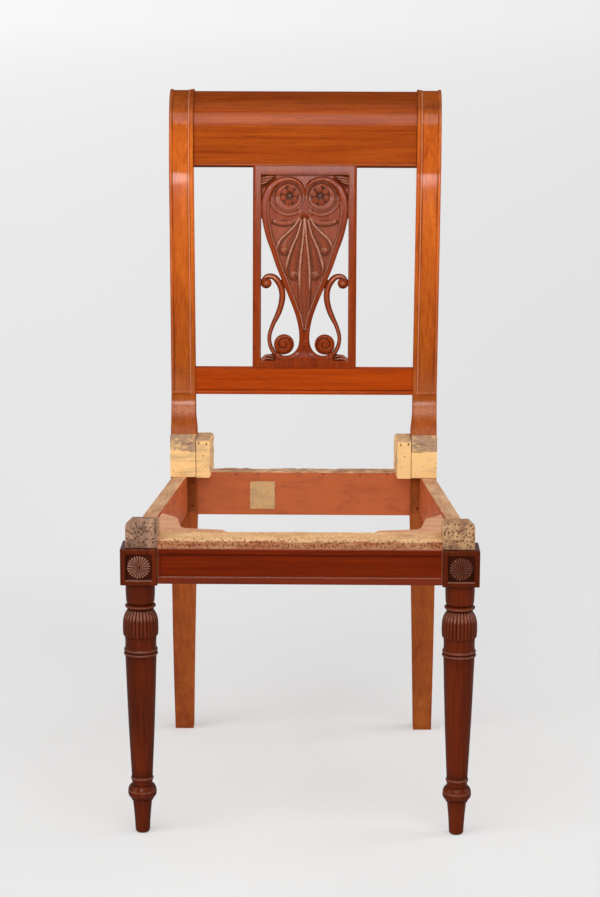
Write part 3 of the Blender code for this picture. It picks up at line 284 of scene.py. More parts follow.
LIP_HALVES = ((0.0, 2.7), (0.12, 3.3), (0.5, 3.2), (0.8, 2.3), (1.0, 1.3))
SHORT_RIM = (
    (38.9, 166.0), (39.3, 170.3), (37.2, 177.4), (33.0, 183.7), (24.5, 191.5), (14.7, 201.3), (7.6, 212.6),
)
LONG_RIM = (
    (25.4, 134.5), (26.4, 139.3), (25.9, 145.0), (22.8, 157.6), (18.3, 170.3), (13.8, 180.5), (9.4, 191.0),
    (4.8, 209.8),
)
SPEAR_RIM = (
    (3.4, 62.0), (4.8, 80.0), (6.2, 97.0), (7.2, 111.0), (7.2, 132.0), (6.5, 146.4), (4.7, 164.7),
    (2.7, 181.6), (1.2, 200.0), (0.8, 212.0),
)
SHORT_CURL = (28.1, 166.1, 5.2)
LONG_CURL = (14.8, 131.8, 5.6)
HEAD_LEAVES = (
    ((60.0, 268.8), (52.0, 270.4), (42.5, 271.0)),
    ((60.6, 265.0), (54.0, 266.4), (46.5, 268.2)),
    ((60.8, 261.0), (56.5, 262.2), (51.5, 264.4)),
)
FOOT_LEAVES = (
    ((60.0, 14.2), (52.5, 19.0), (43.5, 17.0)),
    ((60.5, 12.6), (52.0, 14.8), (44.0, 13.4)),
)
LEAF_HALVES = ((0.0, 1.5), (0.5, 1.6), (1.0, 0.8))
GROUND_DEPTH = 2.5
EYE_DEPTH = 2.9
STRAP_DEPTH = 0.5
SCROLL_DEPTH = 0.9
VOLUTE_DEPTH = 0.6
CARVED_SLOPE = 2.4
SPIRAL_PITCH = 7.2

# Materials and floor

NO_SHIFT = (0.0, 0.0, 0.0)
GRAIN_TURNS = {"x": (0.0, -math.pi / 2, 0.0), "y": (math.pi / 2, 0.0, 0.0), "z": NO_SHIFT}
PORE = (0.012, 0.004, 0.002, 1.0)
PAPER_STAIN = (0.36, 0.22, 0.11, 1.0)
PAPER_FIBRE = (0.2, 0.12, 0.07, 1.0)
WHITE = (1.0, 1.0, 1.0, 1.0)
FLOOR_STEPS = 48
FLOOR_NEAR = 2.0
FLOOR_FAR = 30.0

# Camera and picture

PICTURE_HEIGHT = 897
SENSOR = 36.0
FOCAL_PIXELS = 2449.8
CAMERA_PLACE = Vector((0.0375, FRONT - 2.9971, 1.1420))
CAMERA_PITCH = math.radians(-11.807)
CAMERA_YAW = math.radians(-0.721)
CAMERA_ROLL = math.radians(0.156)


def paint(red, green, blue):
    """A colour written as 0 to 255 on screen, as the linear values that materials take."""
    shares = [channel / 255 for channel in (red, green, blue)]
    return tuple(s / 12.92 if s <= 0.04045 else ((s + 0.055) / 1.055) ** 2.4 for s in shares)


def colour(name, description, red, green, blue):
    return bpy.props.FloatVectorProperty(name=name, description=description, subtype="COLOR", size=3,
                                         min=0.0, max=1.0, default=paint(red, green, blue))


def length(name, description, default):
    return bpy.props.FloatProperty(name=name, description=description, unit="LENGTH", precision=4, min=0.0,
                                   default=default)


def count(name, description, default, least):
    return bpy.props.IntProperty(name=name, description=description, default=default, min=least)


def number(name, description, default, least=0.0):
    return bpy.props.FloatProperty(name=name, description=description, default=default, min=least)


class ChairSizes(bpy.types.PropertyGroup):
    """Sizes of the surface detail."""

    reeds: count("Reeds", "Reeds round the bulb of a front leg", 28, 6)
    reed_depth: length("Reed depth", "How far the hollows between the reeds are cut in", 0.0013)
    petals: count("Petals", "Gouged petals of a leg rosette", 24, 5)
    rosette_radius: length("Rosette radius", "Radius of a leg rosette", 0.0152)
    rosette_rise: length("Rosette rise", "Height of a leg rosette above its sunk panel", 0.0019)
    panel_size: length("Rosette panel", "Side of the sunk square round a leg rosette", 0.0340)
    panel_depth: length("Rosette panel depth", "Depth of the sunk square round a leg rosette", 0.0019)
    outer_bead: length("Outer bead", "Width of the bead on the outer edge of a stile", 0.0042)
    inner_bead: length("Inner bead", "Width of the bead on the inner edge of a stile", 0.0050)
    inner_fillet: length("Inner fillet", "Width of the step beside the inner bead", 0.0028)
    stile_recess: length("Stile recess", "Depth of the flat between the beads of a stile", 0.0016)
    arris: length("Arris", "Rounding of worn edges", 0.0010)
    tack_spacing: length("Tack spacing", "Usual distance between old tack holes", 0.0085)
    tack_radius: length("Tack hole radius", "Radius of an old tack hole", 0.00075)
    tack_depth: length("Tack hole depth", "Depth of an old tack hole", 0.0026)
    carving_step: number("Carving step", "Grid step of the splat in millimetres", 0.76, 0.4)
    label_width: length("Label width", "Width of the blank paper label", 0.0350)
    label_height: length("Label height", "Height of the blank paper label", 0.0400)


class ChairFinish(bpy.types.PropertyGroup):
    """Colours of woods and paper."""

    stile_light: colour("Stiles, light", "Lighter figure of the stiles", 242, 128, 42)
    stile_dark: colour("Stiles, dark", "Darker figure of the stiles", 156, 52, 10)
    crest_light: colour("Crest, light", "Lighter figure of the crest rail", 182, 84, 22)
    crest_dark: colour("Crest, dark", "Darker figure of the crest rail", 130, 47, 9)
    lower_light: colour("Lower rail light", "Light figure of the lower back rail", 200, 82, 16)
    lower_dark: colour("Lower rail dark", "Dark figure of the lower back rail", 144, 46, 6)
    splat_light: colour("Splat, light", "Lighter figure of the splat", 162, 66, 18)
    splat_dark: colour("Splat, dark", "Darker figure of the splat", 108, 30, 6)
    rail_light: colour("Front rail, light", "Lighter figure of the front rail", 134, 41, 3)
    rail_dark: colour("Front rail, dark", "Darker figure of the front rail", 84, 19, 1)
    leg_light: colour("Front legs, light", "Lighter figure of the front legs", 124, 44, 10)
    leg_dark: colour("Front legs, dark", "Darker figure of the front legs", 50, 13, 3)
    inner_light: colour("Inner rails, light", "Lighter figure of the bare seat rails", 188, 90, 36)
    inner_dark: colour("Inner rails, dark", "Soiled parts of the bare seat rails", 148, 62, 24)
    brace_light: colour("Braces, light", "Lighter figure of the corner braces", 214, 156, 116)
    brace_dark: colour("Braces, dark", "Soiled parts of the corner braces", 176, 112, 78)
    tacking_light: colour("Tacking strip, light", "Clean wood of the tacking strips", 234, 186, 132)
    tacking_dark: colour("Tacking strip, dark", "Soiled wood of the tacking strips", 158, 86, 42)
    block_light: colour("Rear blocks, light", "Clean wood of the rear blocks", 252, 204, 136)
    block_dark: colour("Rear blocks, dark", "Soiled wood of the rear blocks", 176, 140, 110)
    upper_light: colour("Leg tops, light", "Bare wood above the leg blocks", 184, 140, 110)
    upper_dark: colour("Leg tops, dark", "Soiled wood above the leg blocks", 124, 88, 68)
    bleached_light: colour("Right leg top, light", "Bare wood above the right leg block", 208, 162, 116)
    bleached_dark: colour("Right leg top, dark", "Soiled wood above the right leg block", 138, 98, 66)
    frayed_light: colour("Frayed edge, light", "Fibres on top of the back rail", 220, 178, 136)
    frayed_dark: colour("Frayed edge, dark", "Dirt on top of the back rail", 156, 104, 70)
    # The grime colour is dirt in hollows and also painted shade in creases, under lips and on sides seen at
    # a slant; the wear colour is rubbed edges and also painted highlights, glints and sheen.
    grime_and_shade: colour("Grime", "Dirt that stays in hollows", 40, 14, 6)
    wear_and_highlight: colour("Wear", "Rubbed edges of the carving", 222, 164, 138)
    hole: colour("Tack hole", "Inside of old tack holes", 58, 34, 21)
    paper: colour("Paper", "Blank paper label", 206, 160, 104)


class StageSettings(bpy.types.PropertyGroup):
    """Light and backdrop."""

    floor: colour("Floor", "Floor and backdrop", 246, 246, 245)
    world: number("World", "Strength of the even light", 0.38)
    backdrop: number("Backdrop", "Brightness of the pale backdrop", 0.89)
    key: number("Key", "Power of the light over the camera, in watts", 80.0)
    soft: number("Soft box", "Power of the high soft box, in watts", 60.0)
    fill: number("Fill", "Power of the wide fill light, in watts", 56.0)
    ceiling: number("Ceiling", "Power of the glints from above, in watts", 55.0)
    side: number("Side", "Power of each side light, in watts", 34.0)


# Shapes

class Shape:
    """Points and faces of one piece, gathered patch by patch; a closed patch is turned to face outwards."""

    def __init__(self):
        self.points = []
        self.corners = []
        self.sizes = []
        self.values = {"hollow": [], "ridge": []}
        self.count = 0

    def add(self, points, faces, hollow=0.0, ridge=0.0):
        """Adds points (n, 3) and faces, a list of index arrays with one row to a face."""
        points = np.asarray(points, float).reshape(-1, 3)
        volume = 0.0
        for group in faces:
            first = points[group[:, 0]]
            for i in range(1, group.shape[1] - 1):
                cross = np.cross(points[group[:, i]], points[group[:, i + 1]])
                volume += np.sum(first * cross)
        for group in faces:
            turned = group[:, ::-1] if volume < 0 else group
            self.corners.append(turned.ravel() + self.count)
            self.sizes.append(np.full(len(group), group.shape[1]))
        self.points.append(points)
        for name, value in (("hollow", hollow), ("ridge", ridge)):
            self.values[name].append(np.broadcast_to(value, np.shape(value) or (len(points),)).ravel())
        self.count += len(points)

    def tube(self, points, hollow=0.0, ridge=0.0, strip_ends=False, rows_closed=False):
        """Adds rings (rows, ring, 3) joined one to the next. The ends are closed by one face each, or, for a
        ring that runs out along one side and back along the other, by a strip of faces across it."""
        rows, ring = points.shape[:2]
        faces = [grid_faces(rows, ring, rows_closed, True)]
        if not rows_closed:
            order = np.arange(ring)
            if strip_ends:
                half = np.arange(ring // 2 - 1)
                strip = np.stack([half, half + 1, ring - 2 - half, ring - 1 - half], 1)
                faces += [strip[:, ::-1], strip + (rows - 1) * ring]
            else:
                faces += [order[None, ::-1], order[None] + (rows - 1) * ring]
        self.add(points, faces, hollow, ridge)

    def build(self, name, material, nodes, crease=CREASE):
        """Makes the mesh object, ties it to the frame and hides the working parts it stands for."""
        mesh = bpy.data.meshes.new(name)
        points = np.concatenate(self.points)
        corners = np.concatenate(self.corners)
        sizes = np.concatenate(self.sizes)
        mesh.vertices.add(len(points))
        mesh.vertices.foreach_set("co", points.ravel())
        mesh.loops.add(len(corners))
        mesh.loops.foreach_set("vertex_index", corners)
        mesh.polygons.add(len(sizes))
        mesh.polygons.foreach_set("loop_start", np.concatenate([[0], np.cumsum(sizes)[:-1]]))
        mesh.update(calc_edges=True)
        mesh.shade_smooth()
        mesh.set_sharp_from_angle(angle=crease)
        for key, value in self.values.items():
            mesh.attributes.new(key, "FLOAT", "POINT").data.foreach_set("value", np.concatenate(value))
        mesh.materials.append(material)
        piece = bpy.data.objects.new(name, mesh)
        bpy.context.scene.collection.objects.link(piece)
        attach(piece, "root")
        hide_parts(*nodes)
        return piece


class Section:
    """A rectangle with rounded corners as a closed ring, from the inner front corner across the front, back
    along the outer side, across the back and forward along the inner side. A point lies at share times size
    plus offset, so one section fits every width and depth."""

    def __init__(self, counts, radii):
        front, outer, back, inner = [np.linspace(0, 1, count) for count in counts]
        front_outer, outer_back, back_inner, inner_front = radii
        turn = np.linspace(0, np.pi / 2, CORNER_STEPS + 2)[1:-1]
        sine = np.sin(turn)
        cosine = np.cos(turn)
        none = np.zeros(CORNER_STEPS)
        whole = np.ones(CORNER_STEPS)
        zeros = [np.zeros(count) for count in counts]
        self.share_across = np.concatenate([
            front, whole, zeros[1] + 1, whole, 1 - back, none, zeros[3], none])
        self.share_deep = np.concatenate([
            zeros[0], none, outer, whole, zeros[2] + 1, whole, 1 - inner, none])
        self.offset_across = np.concatenate([
            inner_front * (1 - front) - front_outer * front, front_outer * (sine - 1), zeros[1],
            outer_back * (cosine - 1), back_inner * back - outer_back * (1 - back), back_inner * (1 - sine),
            zeros[3], inner_front * (1 - cosine)])
        self.offset_deep = np.concatenate([
            zeros[0], front_outer * (1 - cosine), front_outer * (1 - outer) - outer_back * outer,
            outer_back * (sine - 1), zeros[2], back_inner * (cosine - 1),
            inner_front * inner - back_inner * (1 - inner), inner_front * (1 - sine)])
        corner = np.full(CORNER_STEPS, -1)
        self.side = np.concatenate([
            zeros[0], corner, zeros[1] + 1, corner, zeros[2] + 2, corner, zeros[3] + 3, corner]).astype(int)

    def across(self, width):
        return self.share_across * np.asarray(width, float)[..., None] + self.offset_across

    def deep(self, depth):
        return self.share_deep * np.asarray(depth, float)[..., None] + self.offset_deep


def grid_faces(rows, columns, rows_closed=False, columns_closed=False):
    """Four-sided faces of a grid whose points are counted row by row; a closed side joins its start."""
    row = np.arange(rows if rows_closed else rows - 1)[:, None]
    column = np.arange(columns if columns_closed else columns - 1)[None, :]
    next_row = (row + 1) % rows
    next_column = (column + 1) % columns
    faces = np.stack(np.broadcast_arrays(row * columns + column, row * columns + next_column,
                                         next_row * columns + next_column, next_row * columns + column), -1)
    return faces.reshape(-1, 4)


def smooth(value):
    """Eases from 0 to 1 while the value goes from 0 to 1."""
    value = np.clip(value, 0, 1)
    return value * value * (3 - 2 * value)


def near(away, wide):
    """1 on a line, falling to 0 on both sides of it as a bell does."""
    return np.exp(-(away / wide) ** 2)


def soft_noise(x, y, seed):
    """Smooth random hills between -1 and 1, about one to a unit square: random heights at whole numbers with
    an eased blend between them."""
    table = np.random.default_rng(seed).uniform(-1, 1, (NOISE_CELLS, NOISE_CELLS))
    left = np.floor(x).astype(int)
    low = np.floor(y).astype(int)
    over = smooth(x - left)
    up = smooth(y - low)

    def at(column, row):
        return table[column % NOISE_CELLS, row % NOISE_CELLS]

    def across(row):
        return at(left, row) * (1 - over) + at(left + 1, row) * over

    return across(low) * (1 - up) + across(low + 1) * up


def pits(along, across, places, radius):
    """How far a point lies in a pit, 1 in the middle and 0 outside, for pits at places (along, across,
    size)."""
    inside = np.zeros(np.broadcast(along, across).shape)
    for place_along, place_across, size in places:
        away = ((along - place_along) ** 2 + (across - place_across) ** 2) / (radius * size) ** 2
        inside = np.maximum(inside, np.exp(-away ** 2))
    return inside


def scattered(seed, low, high, near_side, far_side, spacing):
    """Places of old tack holes: a wandering row from low to high, scattered between near and far side."""
    random = np.random.default_rng(seed)
    total = max(1, int((high - low) / spacing))
    along = np.linspace(low, high, total) + random.normal(0, spacing * 0.35, total)
    across = random.uniform(near_side, far_side, total)
    size = random.uniform(0.65, 1.35, total)
    inside = (along > low) & (along < high)
    return np.stack([along, across, size], 1)[inside]


def tack_rows(low, high, spacing, *rows):
    """Old tack holes in rows, each given by its seed, its near and far side and its share of the spacing."""
    return np.concatenate([scattered(seed, low, high, near_side, far_side, spacing * share)
                           for seed, near_side, far_side, share in rows])


def eased_outline(corners, rounding, spacing):
    """Closed outline through the corners, each eased by a curve that leaves and joins the straight sides at
    the rounding's distance from it; points lie about the spacing apart."""
    corners = np.asarray(corners, float)
    points = []
    for before, corner, following in zip(np.roll(corners, 1, 0), corners, np.roll(corners, -1, 0)):
        to_before = before - corner
        to_following = following - corner
        long_before = np.linalg.norm(to_before)
        long_after = np.linalg.norm(to_following)
        reach_before = min(rounding, long_before / SIDE_SHARE)
        reach_after = min(rounding, long_after / SIDE_SHARE)
        start = corner + to_before / long_before * reach_before
        end = corner + to_following / long_after * reach_after
        share = np.linspace(0, 1, EASED_STEPS)[:, None]
        points.append((1 - share) ** 2 * start + 2 * share * (1 - share) * corner + share ** 2 * end)
        total = int((long_after - reach_after - reach_after) / spacing)
        if total > 0:
            share = np.linspace(0, 1, total + 2)[1:-1, None]
            last = following - to_following / long_after * reach_after
            points.append(end + (last - end) * share)
    return np.concatenate(points)


def outward(outline):
    """Unit normals of a closed outline, pointing out of it, and the length run along it to each point."""
    ahead = np.roll(outline, -1, 0) - np.roll(outline, 1, 0)
    area = np.sum(outline[:, 0] * np.roll(outline[:, 1], -1) - np.roll(outline[:, 0], -1) * outline[:, 1])
    normal = np.stack([ahead[:, 1], -ahead[:, 0]], 1) * (1 if area > 0 else -1)
    steps = np.linalg.norm(np.diff(outline, axis=0), axis=1)
    return normal / np.linalg.norm(normal, axis=1)[:, None], np.concatenate([[0], np.cumsum(steps)])


def edge_walls(faces, total):
    """Faces that join every open edge of a sheet to the same edge of its copy, whose points come a total of
    points later."""
    edges = np.concatenate([np.stack([group, np.roll(group, -1, 1)], -1).reshape(-1, 2) for group in faces])
    code = edges[:, 0] * total + edges[:, 1]
    lone = edges[~np.isin(code, edges[:, 1] * total + edges[:, 0])]
    return np.stack([lone[:, 1], lone[:, 0], lone[:, 0] + total, lone[:, 1] + total], 1)


def carried(outline, inside, place, stations):
    """Carries a closed outline along stations: the outline's points go in by the given depth (stations,
    points) against their normals, and place(first, second, station) sets them in space."""
    normal, _ = outward(outline)
    first = outline[None, :, 0] - normal[None, :, 0] * inside
    second = outline[None, :, 1] - normal[None, :, 1] * inside
    return np.stack(np.broadcast_arrays(*place(first, second, stations[:, None])), -1)


# Profile of the back

def stile_front(mark):
    """(y, z, tilt) up the front of a stile: stretches of steady curvature laid end to end from the floor, so
    the tilt grows by curvature times length and the place moves along each arc."""
    mark = np.asarray(mark, float)
    y = np.full_like(mark, FRONT + SEAT_DEPTH + REAR_FOOT_SETBACK)
    z = np.zeros_like(mark)
    tilt = np.full_like(mark, -REAR_LEG_ANGLE)
    for start, (run, curvature) in zip(STILE_MARKS, STILE_STRETCHES):
        step = np.clip(mark - start, 0, run)
        turned = tilt + curvature * step
        if curvature:
            y = y + (np.cos(tilt) - np.cos(turned)) / curvature
            z = z + (np.sin(turned) - np.sin(tilt)) / curvature
        else:
            y = y + np.sin(tilt) * step
            z = z + np.cos(tilt) * step
        tilt = turned
    return y, z, tilt


def behind(mark, depth):
    """(y, z) at this depth behind the front of the stile."""
    y, z, tilt = stile_front(mark)
    return y + depth * np.cos(tilt), z - depth * np.sin(tilt)


LOWER_RAIL_LEVEL = float(stile_front(LOWER_RAIL_MARK)[1])
ROLL_TOP = float(np.max(stile_front(np.linspace(NECK_MARK, ROLL_MARK, 400))[1]))


def outer_half(z):
    """Half the width over the stiles: upright up to the lower rail, then spreading to the top."""
    spread = (TOP_WIDTH - REAR_WIDTH) * np.maximum(0, (z - LOWER_RAIL_LEVEL) / (ROLL_TOP - LOWER_RAIL_LEVEL))
    return (REAR_WIDTH + spread) / 2


def nose(marks):
    """Share of the thickness that is left at each mark of the back, whose rolled end is rounded over."""
    past = np.clip((marks - (ROLL_MARK - ROLL_NOSE)) / ROLL_NOSE, 0, 0.97)
    return np.sqrt(1 - past ** 2)


def inner_half(z):
    """Half the width between the stiles, which widen from the foot to the seat and narrow above the
    blocks."""
    grown = (SEAT_POST_WIDTH - REAR_FOOT_WIDTH) * np.clip(z / SEAT_RAIL_BOTTOM, 0, 1)
    narrowed = (SEAT_POST_WIDTH - STILE_WIDTH) * np.clip((z - POST_FLARE_LEVEL) / POST_FLARE_HEIGHT, 0, 1)
    return outer_half(z) - REAR_FOOT_WIDTH - grown + narrowed


def side_rail_outer(depth):
    """Half the width over the side rails at this depth behind the front."""
    share = (depth - LEG_BLOCK) / (SEAT_DEPTH - LEG_BLOCK)
    front = FRONT_WIDTH / 2 - SIDE_RAIL_INSET
    return front + (REAR_WIDTH / 2 - front) * share


def even_marks(low, high, step):
    """Marks from low to high, about a step apart and closer on tight curves."""
    marks = [np.array([low, high])]
    for start, (run, curvature) in zip(STILE_MARKS, STILE_STRETCHES):
        first = max(low, start)
        last = min(high, start + run)
        if last > first:
            count = 1 + int(max((last - first) / step, abs(curvature) * (last - first) / MARK_TURN))
            marks.append(np.linspace(first, last, count + 1))
    return np.unique(np.round(np.concatenate(marks), 6))


# Materials

class Nodes:
    """Adds nodes to a tree; a value that is a socket is linked, any other is set."""

    def __init__(self, tree):
        self.tree = tree

    def fill(self, inputs, values):
        for key, value in values.items():
            if isinstance(value, bpy.types.NodeSocket):
                self.tree.links.new(value, inputs[key])
            else:
                inputs[key].default_value = value

    def add(self, kind, values, **settings):
        node = self.tree.nodes.new(kind)
        for key, value in settings.items():
            setattr(node, key, value)
        self.fill(node.inputs, values)
        return node

    def maths(self, operation, first, second):
        return self.add("ShaderNodeMath", {0: first, 1: second}, operation=operation).outputs[0]

    def blend(self, share, first, second):
        return self.add("ShaderNodeMix", {0: share, 6: first, 7: second}, data_type="RGBA").outputs[2]

    def spread(self, value, low, high, to_low=0.0, to_high=1.0):
        return self.add("ShaderNodeMapRange", {0: value, 1: low, 2: high, 3: to_low, 4: to_high}).outputs[0]

    def noise(self, vector, stretch, detail=3.0, roughness=0.55, distortion=0.0):
        scaled = self.add("ShaderNodeVectorMath", {0: vector, 1: stretch}, operation="MULTIPLY").outputs[0]
        values = {"Vector": scaled, "Scale": 1.0, "Detail": detail, "Roughness": roughness,
                  "Distortion": distortion}
        return self.add("ShaderNodeTexNoise", values).outputs["Fac"]

    def attribute(self, name):
        return self.add("ShaderNodeAttribute", {}, attribute_name=name).outputs["Fac"]

    def group(self, name, make, values):
        """A shared node group, made when it is first asked for, with its inputs filled; its outputs."""
        tree = bpy.data.node_groups.get(name) or make(name)
        return self.add("ShaderNodeGroup", values, node_tree=tree).outputs


def new_group(name, inputs, outputs):
    """An empty node group whose sockets are given with their kinds; gives its nodes, inputs and outputs."""
    tree = bpy.data.node_groups.new(name, "ShaderNodeTree")
    for way, sockets in (("INPUT", inputs), ("OUTPUT", outputs)):
        for socket, kind in sockets.items():
            tree.interface.new_socket(socket, in_out=way, socket_type=f"NodeSocket{kind}")
    source = tree.nodes.new("NodeGroupInput")
    target = tree.nodes.new("NodeGroupOutput")
    return Nodes(tree), source.outputs, target.inputs


def mahogany_group(name):
    """Figure of polished mahogany with the grain along Z: slow bands, fine streaks and short dark pores."""
    nodes, source, target = new_group(
        name, {"Vector": "Vector", "Light": "Color", "Dark": "Color", "Bands": "Float"},
        {"Color": "Color", "Pores": "Float"})
    bands = nodes.noise(source["Vector"], (26.0, 26.0, 2.6), 4.0, 0.6, 0.6)
    streaks = nodes.noise(source["Vector"], (260.0, 260.0, 7.0), 3.0, 0.6)
    pores = nodes.noise(source["Vector"], (1300.0, 1300.0, 60.0), 1.0)
    broad = nodes.maths("MULTIPLY", bands, source["Bands"])
    fine = nodes.maths("MULTIPLY", streaks, nodes.maths("SUBTRACT", 1.0, source["Bands"]))
    share = nodes.spread(nodes.maths("ADD", broad, fine), 0.26, 0.74)
    mixed = nodes.blend(share, source["Light"], source["Dark"])
    dots = nodes.spread(pores, 0.60, 0.74)
    darker = nodes.blend(nodes.maths("MULTIPLY", dots, 0.45), mixed, PORE)
    nodes.fill(target, {"Color": darker, "Pores": dots})
    return nodes.tree


def handled_group(name):
    """Age on polish: dirt and painted shade in hollows, rubbing and painted highlights on ridges, blotchy
    polish.
    """
    nodes, source, target = new_group(
        name, {"Vector": "Vector", "Color": "Color", "Grime": "Color", "Wear": "Color", "Hollow": "Float",
               "Ridge": "Float", "Polish": "Float"},
        {"Color": "Color", "Roughness": "Float", "Coat": "Float"})
    blotch = nodes.noise(source["Vector"], (38.0, 38.0, 38.0), 4.0, 0.65)
    specks = nodes.noise(source["Vector"], (420.0, 420.0, 420.0), 2.0, 0.6)
    kept = nodes.maths("MULTIPLY", source["Hollow"], nodes.spread(blotch, 0.2, 0.6, 0.65, 1.0))
    dirty = nodes.blend(kept, source["Color"], source["Grime"])
    rubbed_and_lit = nodes.maths("MULTIPLY", source["Ridge"], nodes.spread(specks, 0.35, 0.6, 0.45, 1.0))
    dull = nodes.maths("MULTIPLY", kept, 0.25)
    nodes.fill(target, {
        "Color": nodes.blend(rubbed_and_lit, dirty, source["Wear"]),
        "Roughness": nodes.maths("ADD", nodes.spread(blotch, 0.35, 0.7, 0.26, 0.42), dull),
        "Coat": nodes.maths("MULTIPLY", source["Polish"], nodes.spread(kept, 0.0, 1.0, 1.0, 0.1))})
    return nodes.tree


def timber_group(name):
    """Bare timber with the grain along Z: growth streaks, soiled patches, dark tack holes and stains."""
    nodes, source, target = new_group(
        name, {"Vector": "Vector", "Light": "Color", "Dark": "Color", "Hole": "Color", "Pit": "Float",
               "Soil": "Float", "Speckle": "Float", "Patches": "Float"},
        {"Color": "Color", "Height": "Float"})
    streaks = nodes.noise(source["Vector"], (320.0, 320.0, 12.0), 4.0, 0.6, 0.2)
    patches = nodes.noise(source["Vector"], (60.0, 60.0, 26.0), 5.0, 0.65, 0.4)
    specks = nodes.noise(source["Vector"], (650.0, 650.0, 500.0), 2.0, 0.6)
    patchy = nodes.maths("MULTIPLY", nodes.spread(patches, 0.42, 0.68), source["Patches"])
    soiled = nodes.maths("MULTIPLY", nodes.maths("ADD", patchy, source["Soil"]), 0.75)
    share = nodes.maths("ADD", soiled, nodes.spread(streaks, 0.4, 0.75, 0.0, 0.35))
    mixed = nodes.blend(nodes.spread(share, 0.0, 1.0), source["Light"], source["Dark"])
    dots = nodes.maths("MULTIPLY", nodes.spread(specks, 0.54, 0.70), source["Speckle"])
    dotted = nodes.blend(dots, mixed, source["Hole"])
    nodes.fill(target, {"Color": nodes.blend(source["Pit"], dotted, source["Hole"]),
                        "Height": nodes.maths("ADD", streaks, specks)})
    return nodes.tree


def opened(value):
    """A colour property with the alpha that colour sockets take."""
    return (*value, 1.0)


def start_material(name, grain="z", shift=NO_SHIFT):
    """A new material; returns it with its nodes, its shader and the grain's coordinates."""
    material = bpy.data.materials.new(name)
    material.use_nodes = True
    nodes = Nodes(material.node_tree)
    shader = material.node_tree.nodes["Principled BSDF"]
    place = nodes.add("ShaderNodeTexCoord", {}).outputs["Object"]
    values = {"Vector": place, "Location": shift, "Rotation": GRAIN_TURNS[grain]}
    return material, nodes, shader, nodes.add("ShaderNodeMapping", values).outputs["Vector"]


def polished(name, wood, finish, polish, grain="z", shift=NO_SHIFT, shine=0.0, blur=0.16, bands=0.6,
             slant_shade=0.0):
    """French-polished mahogany in the two colours of a wood; polish is the weight of its clear coat, bands
    the share of its broad figure and the last argument how much painted shade darkens the wood seen at a
    slant."""
    known = bpy.data.materials.get(name)
    if known:
        return known
    material, nodes, shader, vector = start_material(name, grain, shift)
    grime_and_shade = opened(finish.grime_and_shade)
    figure = nodes.group("mahogany figure", mahogany_group, {
        "Vector": vector, "Light": opened(getattr(finish, f"{wood}_light")),
        "Dark": opened(getattr(finish, f"{wood}_dark")), "Bands": bands})
    aged = nodes.group("handled polish", handled_group, {
        "Vector": vector, "Color": figure["Color"], "Grime": grime_and_shade, "Wear": opened(finish.wear_and_highlight),
        "Hollow": nodes.attribute("hollow"), "Ridge": nodes.attribute("ridge"), "Polish": polish})
    bump = nodes.add("ShaderNodeBump", {"Height": figure["Pores"], "Strength": 0.12, "Distance": 0.0002},
                     invert=True)
    slant = nodes.add("ShaderNodeLayerWeight", {"Blend": 0.5}).outputs["Facing"]
    # Painted shade: the dark hollow colour darkens the wood where it is seen at a slant.
    shaded = nodes.blend(nodes.maths("MULTIPLY", slant, slant_shade), aged["Color"], grime_and_shade)
    nodes.fill(shader.inputs, {
        "Base Color": shaded, "Roughness": aged["Roughness"], "Coat Weight": aged["Coat"],
        "Coat Roughness": blur, "Specular IOR Level": shine, "Normal": bump.outputs["Normal"]})
    return material


def bare(name, wood, finish, soiled_wood=None, grain="z", shift=NO_SHIFT, soil=0.0, roughness=0.78,
         speckle=0.12, patches=1.0):
    """Unpolished timber in the two colours of a wood, or with the dark colour of another one; the piece's
    hollow attribute marks tack holes and its ridge attribute marks soiling."""
    known = bpy.data.materials.get(name)
    if known:
        return known
    material, nodes, shader, vector = start_material(name, grain, shift)
    soiled = nodes.add("ShaderNodeMath", {0: nodes.attribute("ridge"), 1: 1.5, 2: soil},
                       operation="MULTIPLY_ADD").outputs[0]
    timber = nodes.group("bare timber", timber_group, {
        "Vector": vector, "Light": opened(getattr(finish, f"{wood}_light")),
        "Dark": opened(getattr(finish, f"{soiled_wood or wood}_dark")), "Hole": opened(finish.hole),
        "Pit": nodes.attribute("hollow"), "Soil": soiled, "Speckle": speckle, "Patches": patches})
    bump = nodes.add("ShaderNodeBump", {"Height": timber["Height"], "Strength": 0.35, "Distance": 0.0004})
    nodes.fill(shader.inputs, {"Base Color": timber["Color"], "Normal": bump.outputs["Normal"],
                               "Roughness": roughness, "Specular IOR Level": 0.25})
    return material


def paper_material(finish):
    """Aged blank paper: stains and fibres."""
    known = bpy.data.materials.get("aged_paper")
    if known:
        return known
    material, nodes, shader, vector = start_material("aged_paper")
    stains = nodes.noise(vector, (90.0, 90.0, 90.0), 5.0, 0.6, 0.5)
    fibres = nodes.noise(vector, (900.0, 900.0, 700.0), 2.0, 0.6)
    aged = nodes.blend(nodes.spread(stains, 0.45, 0.72, 0.0, 0.75), opened(finish.paper), PAPER_STAIN)
    specked = nodes.blend(nodes.spread(fibres, 0.58, 0.75, 0.0, 0.3), aged, PAPER_FIBRE)
    nodes.fill(shader.inputs, {"Base Color": specked, "Roughness": 0.85})
    return material


# Front legs

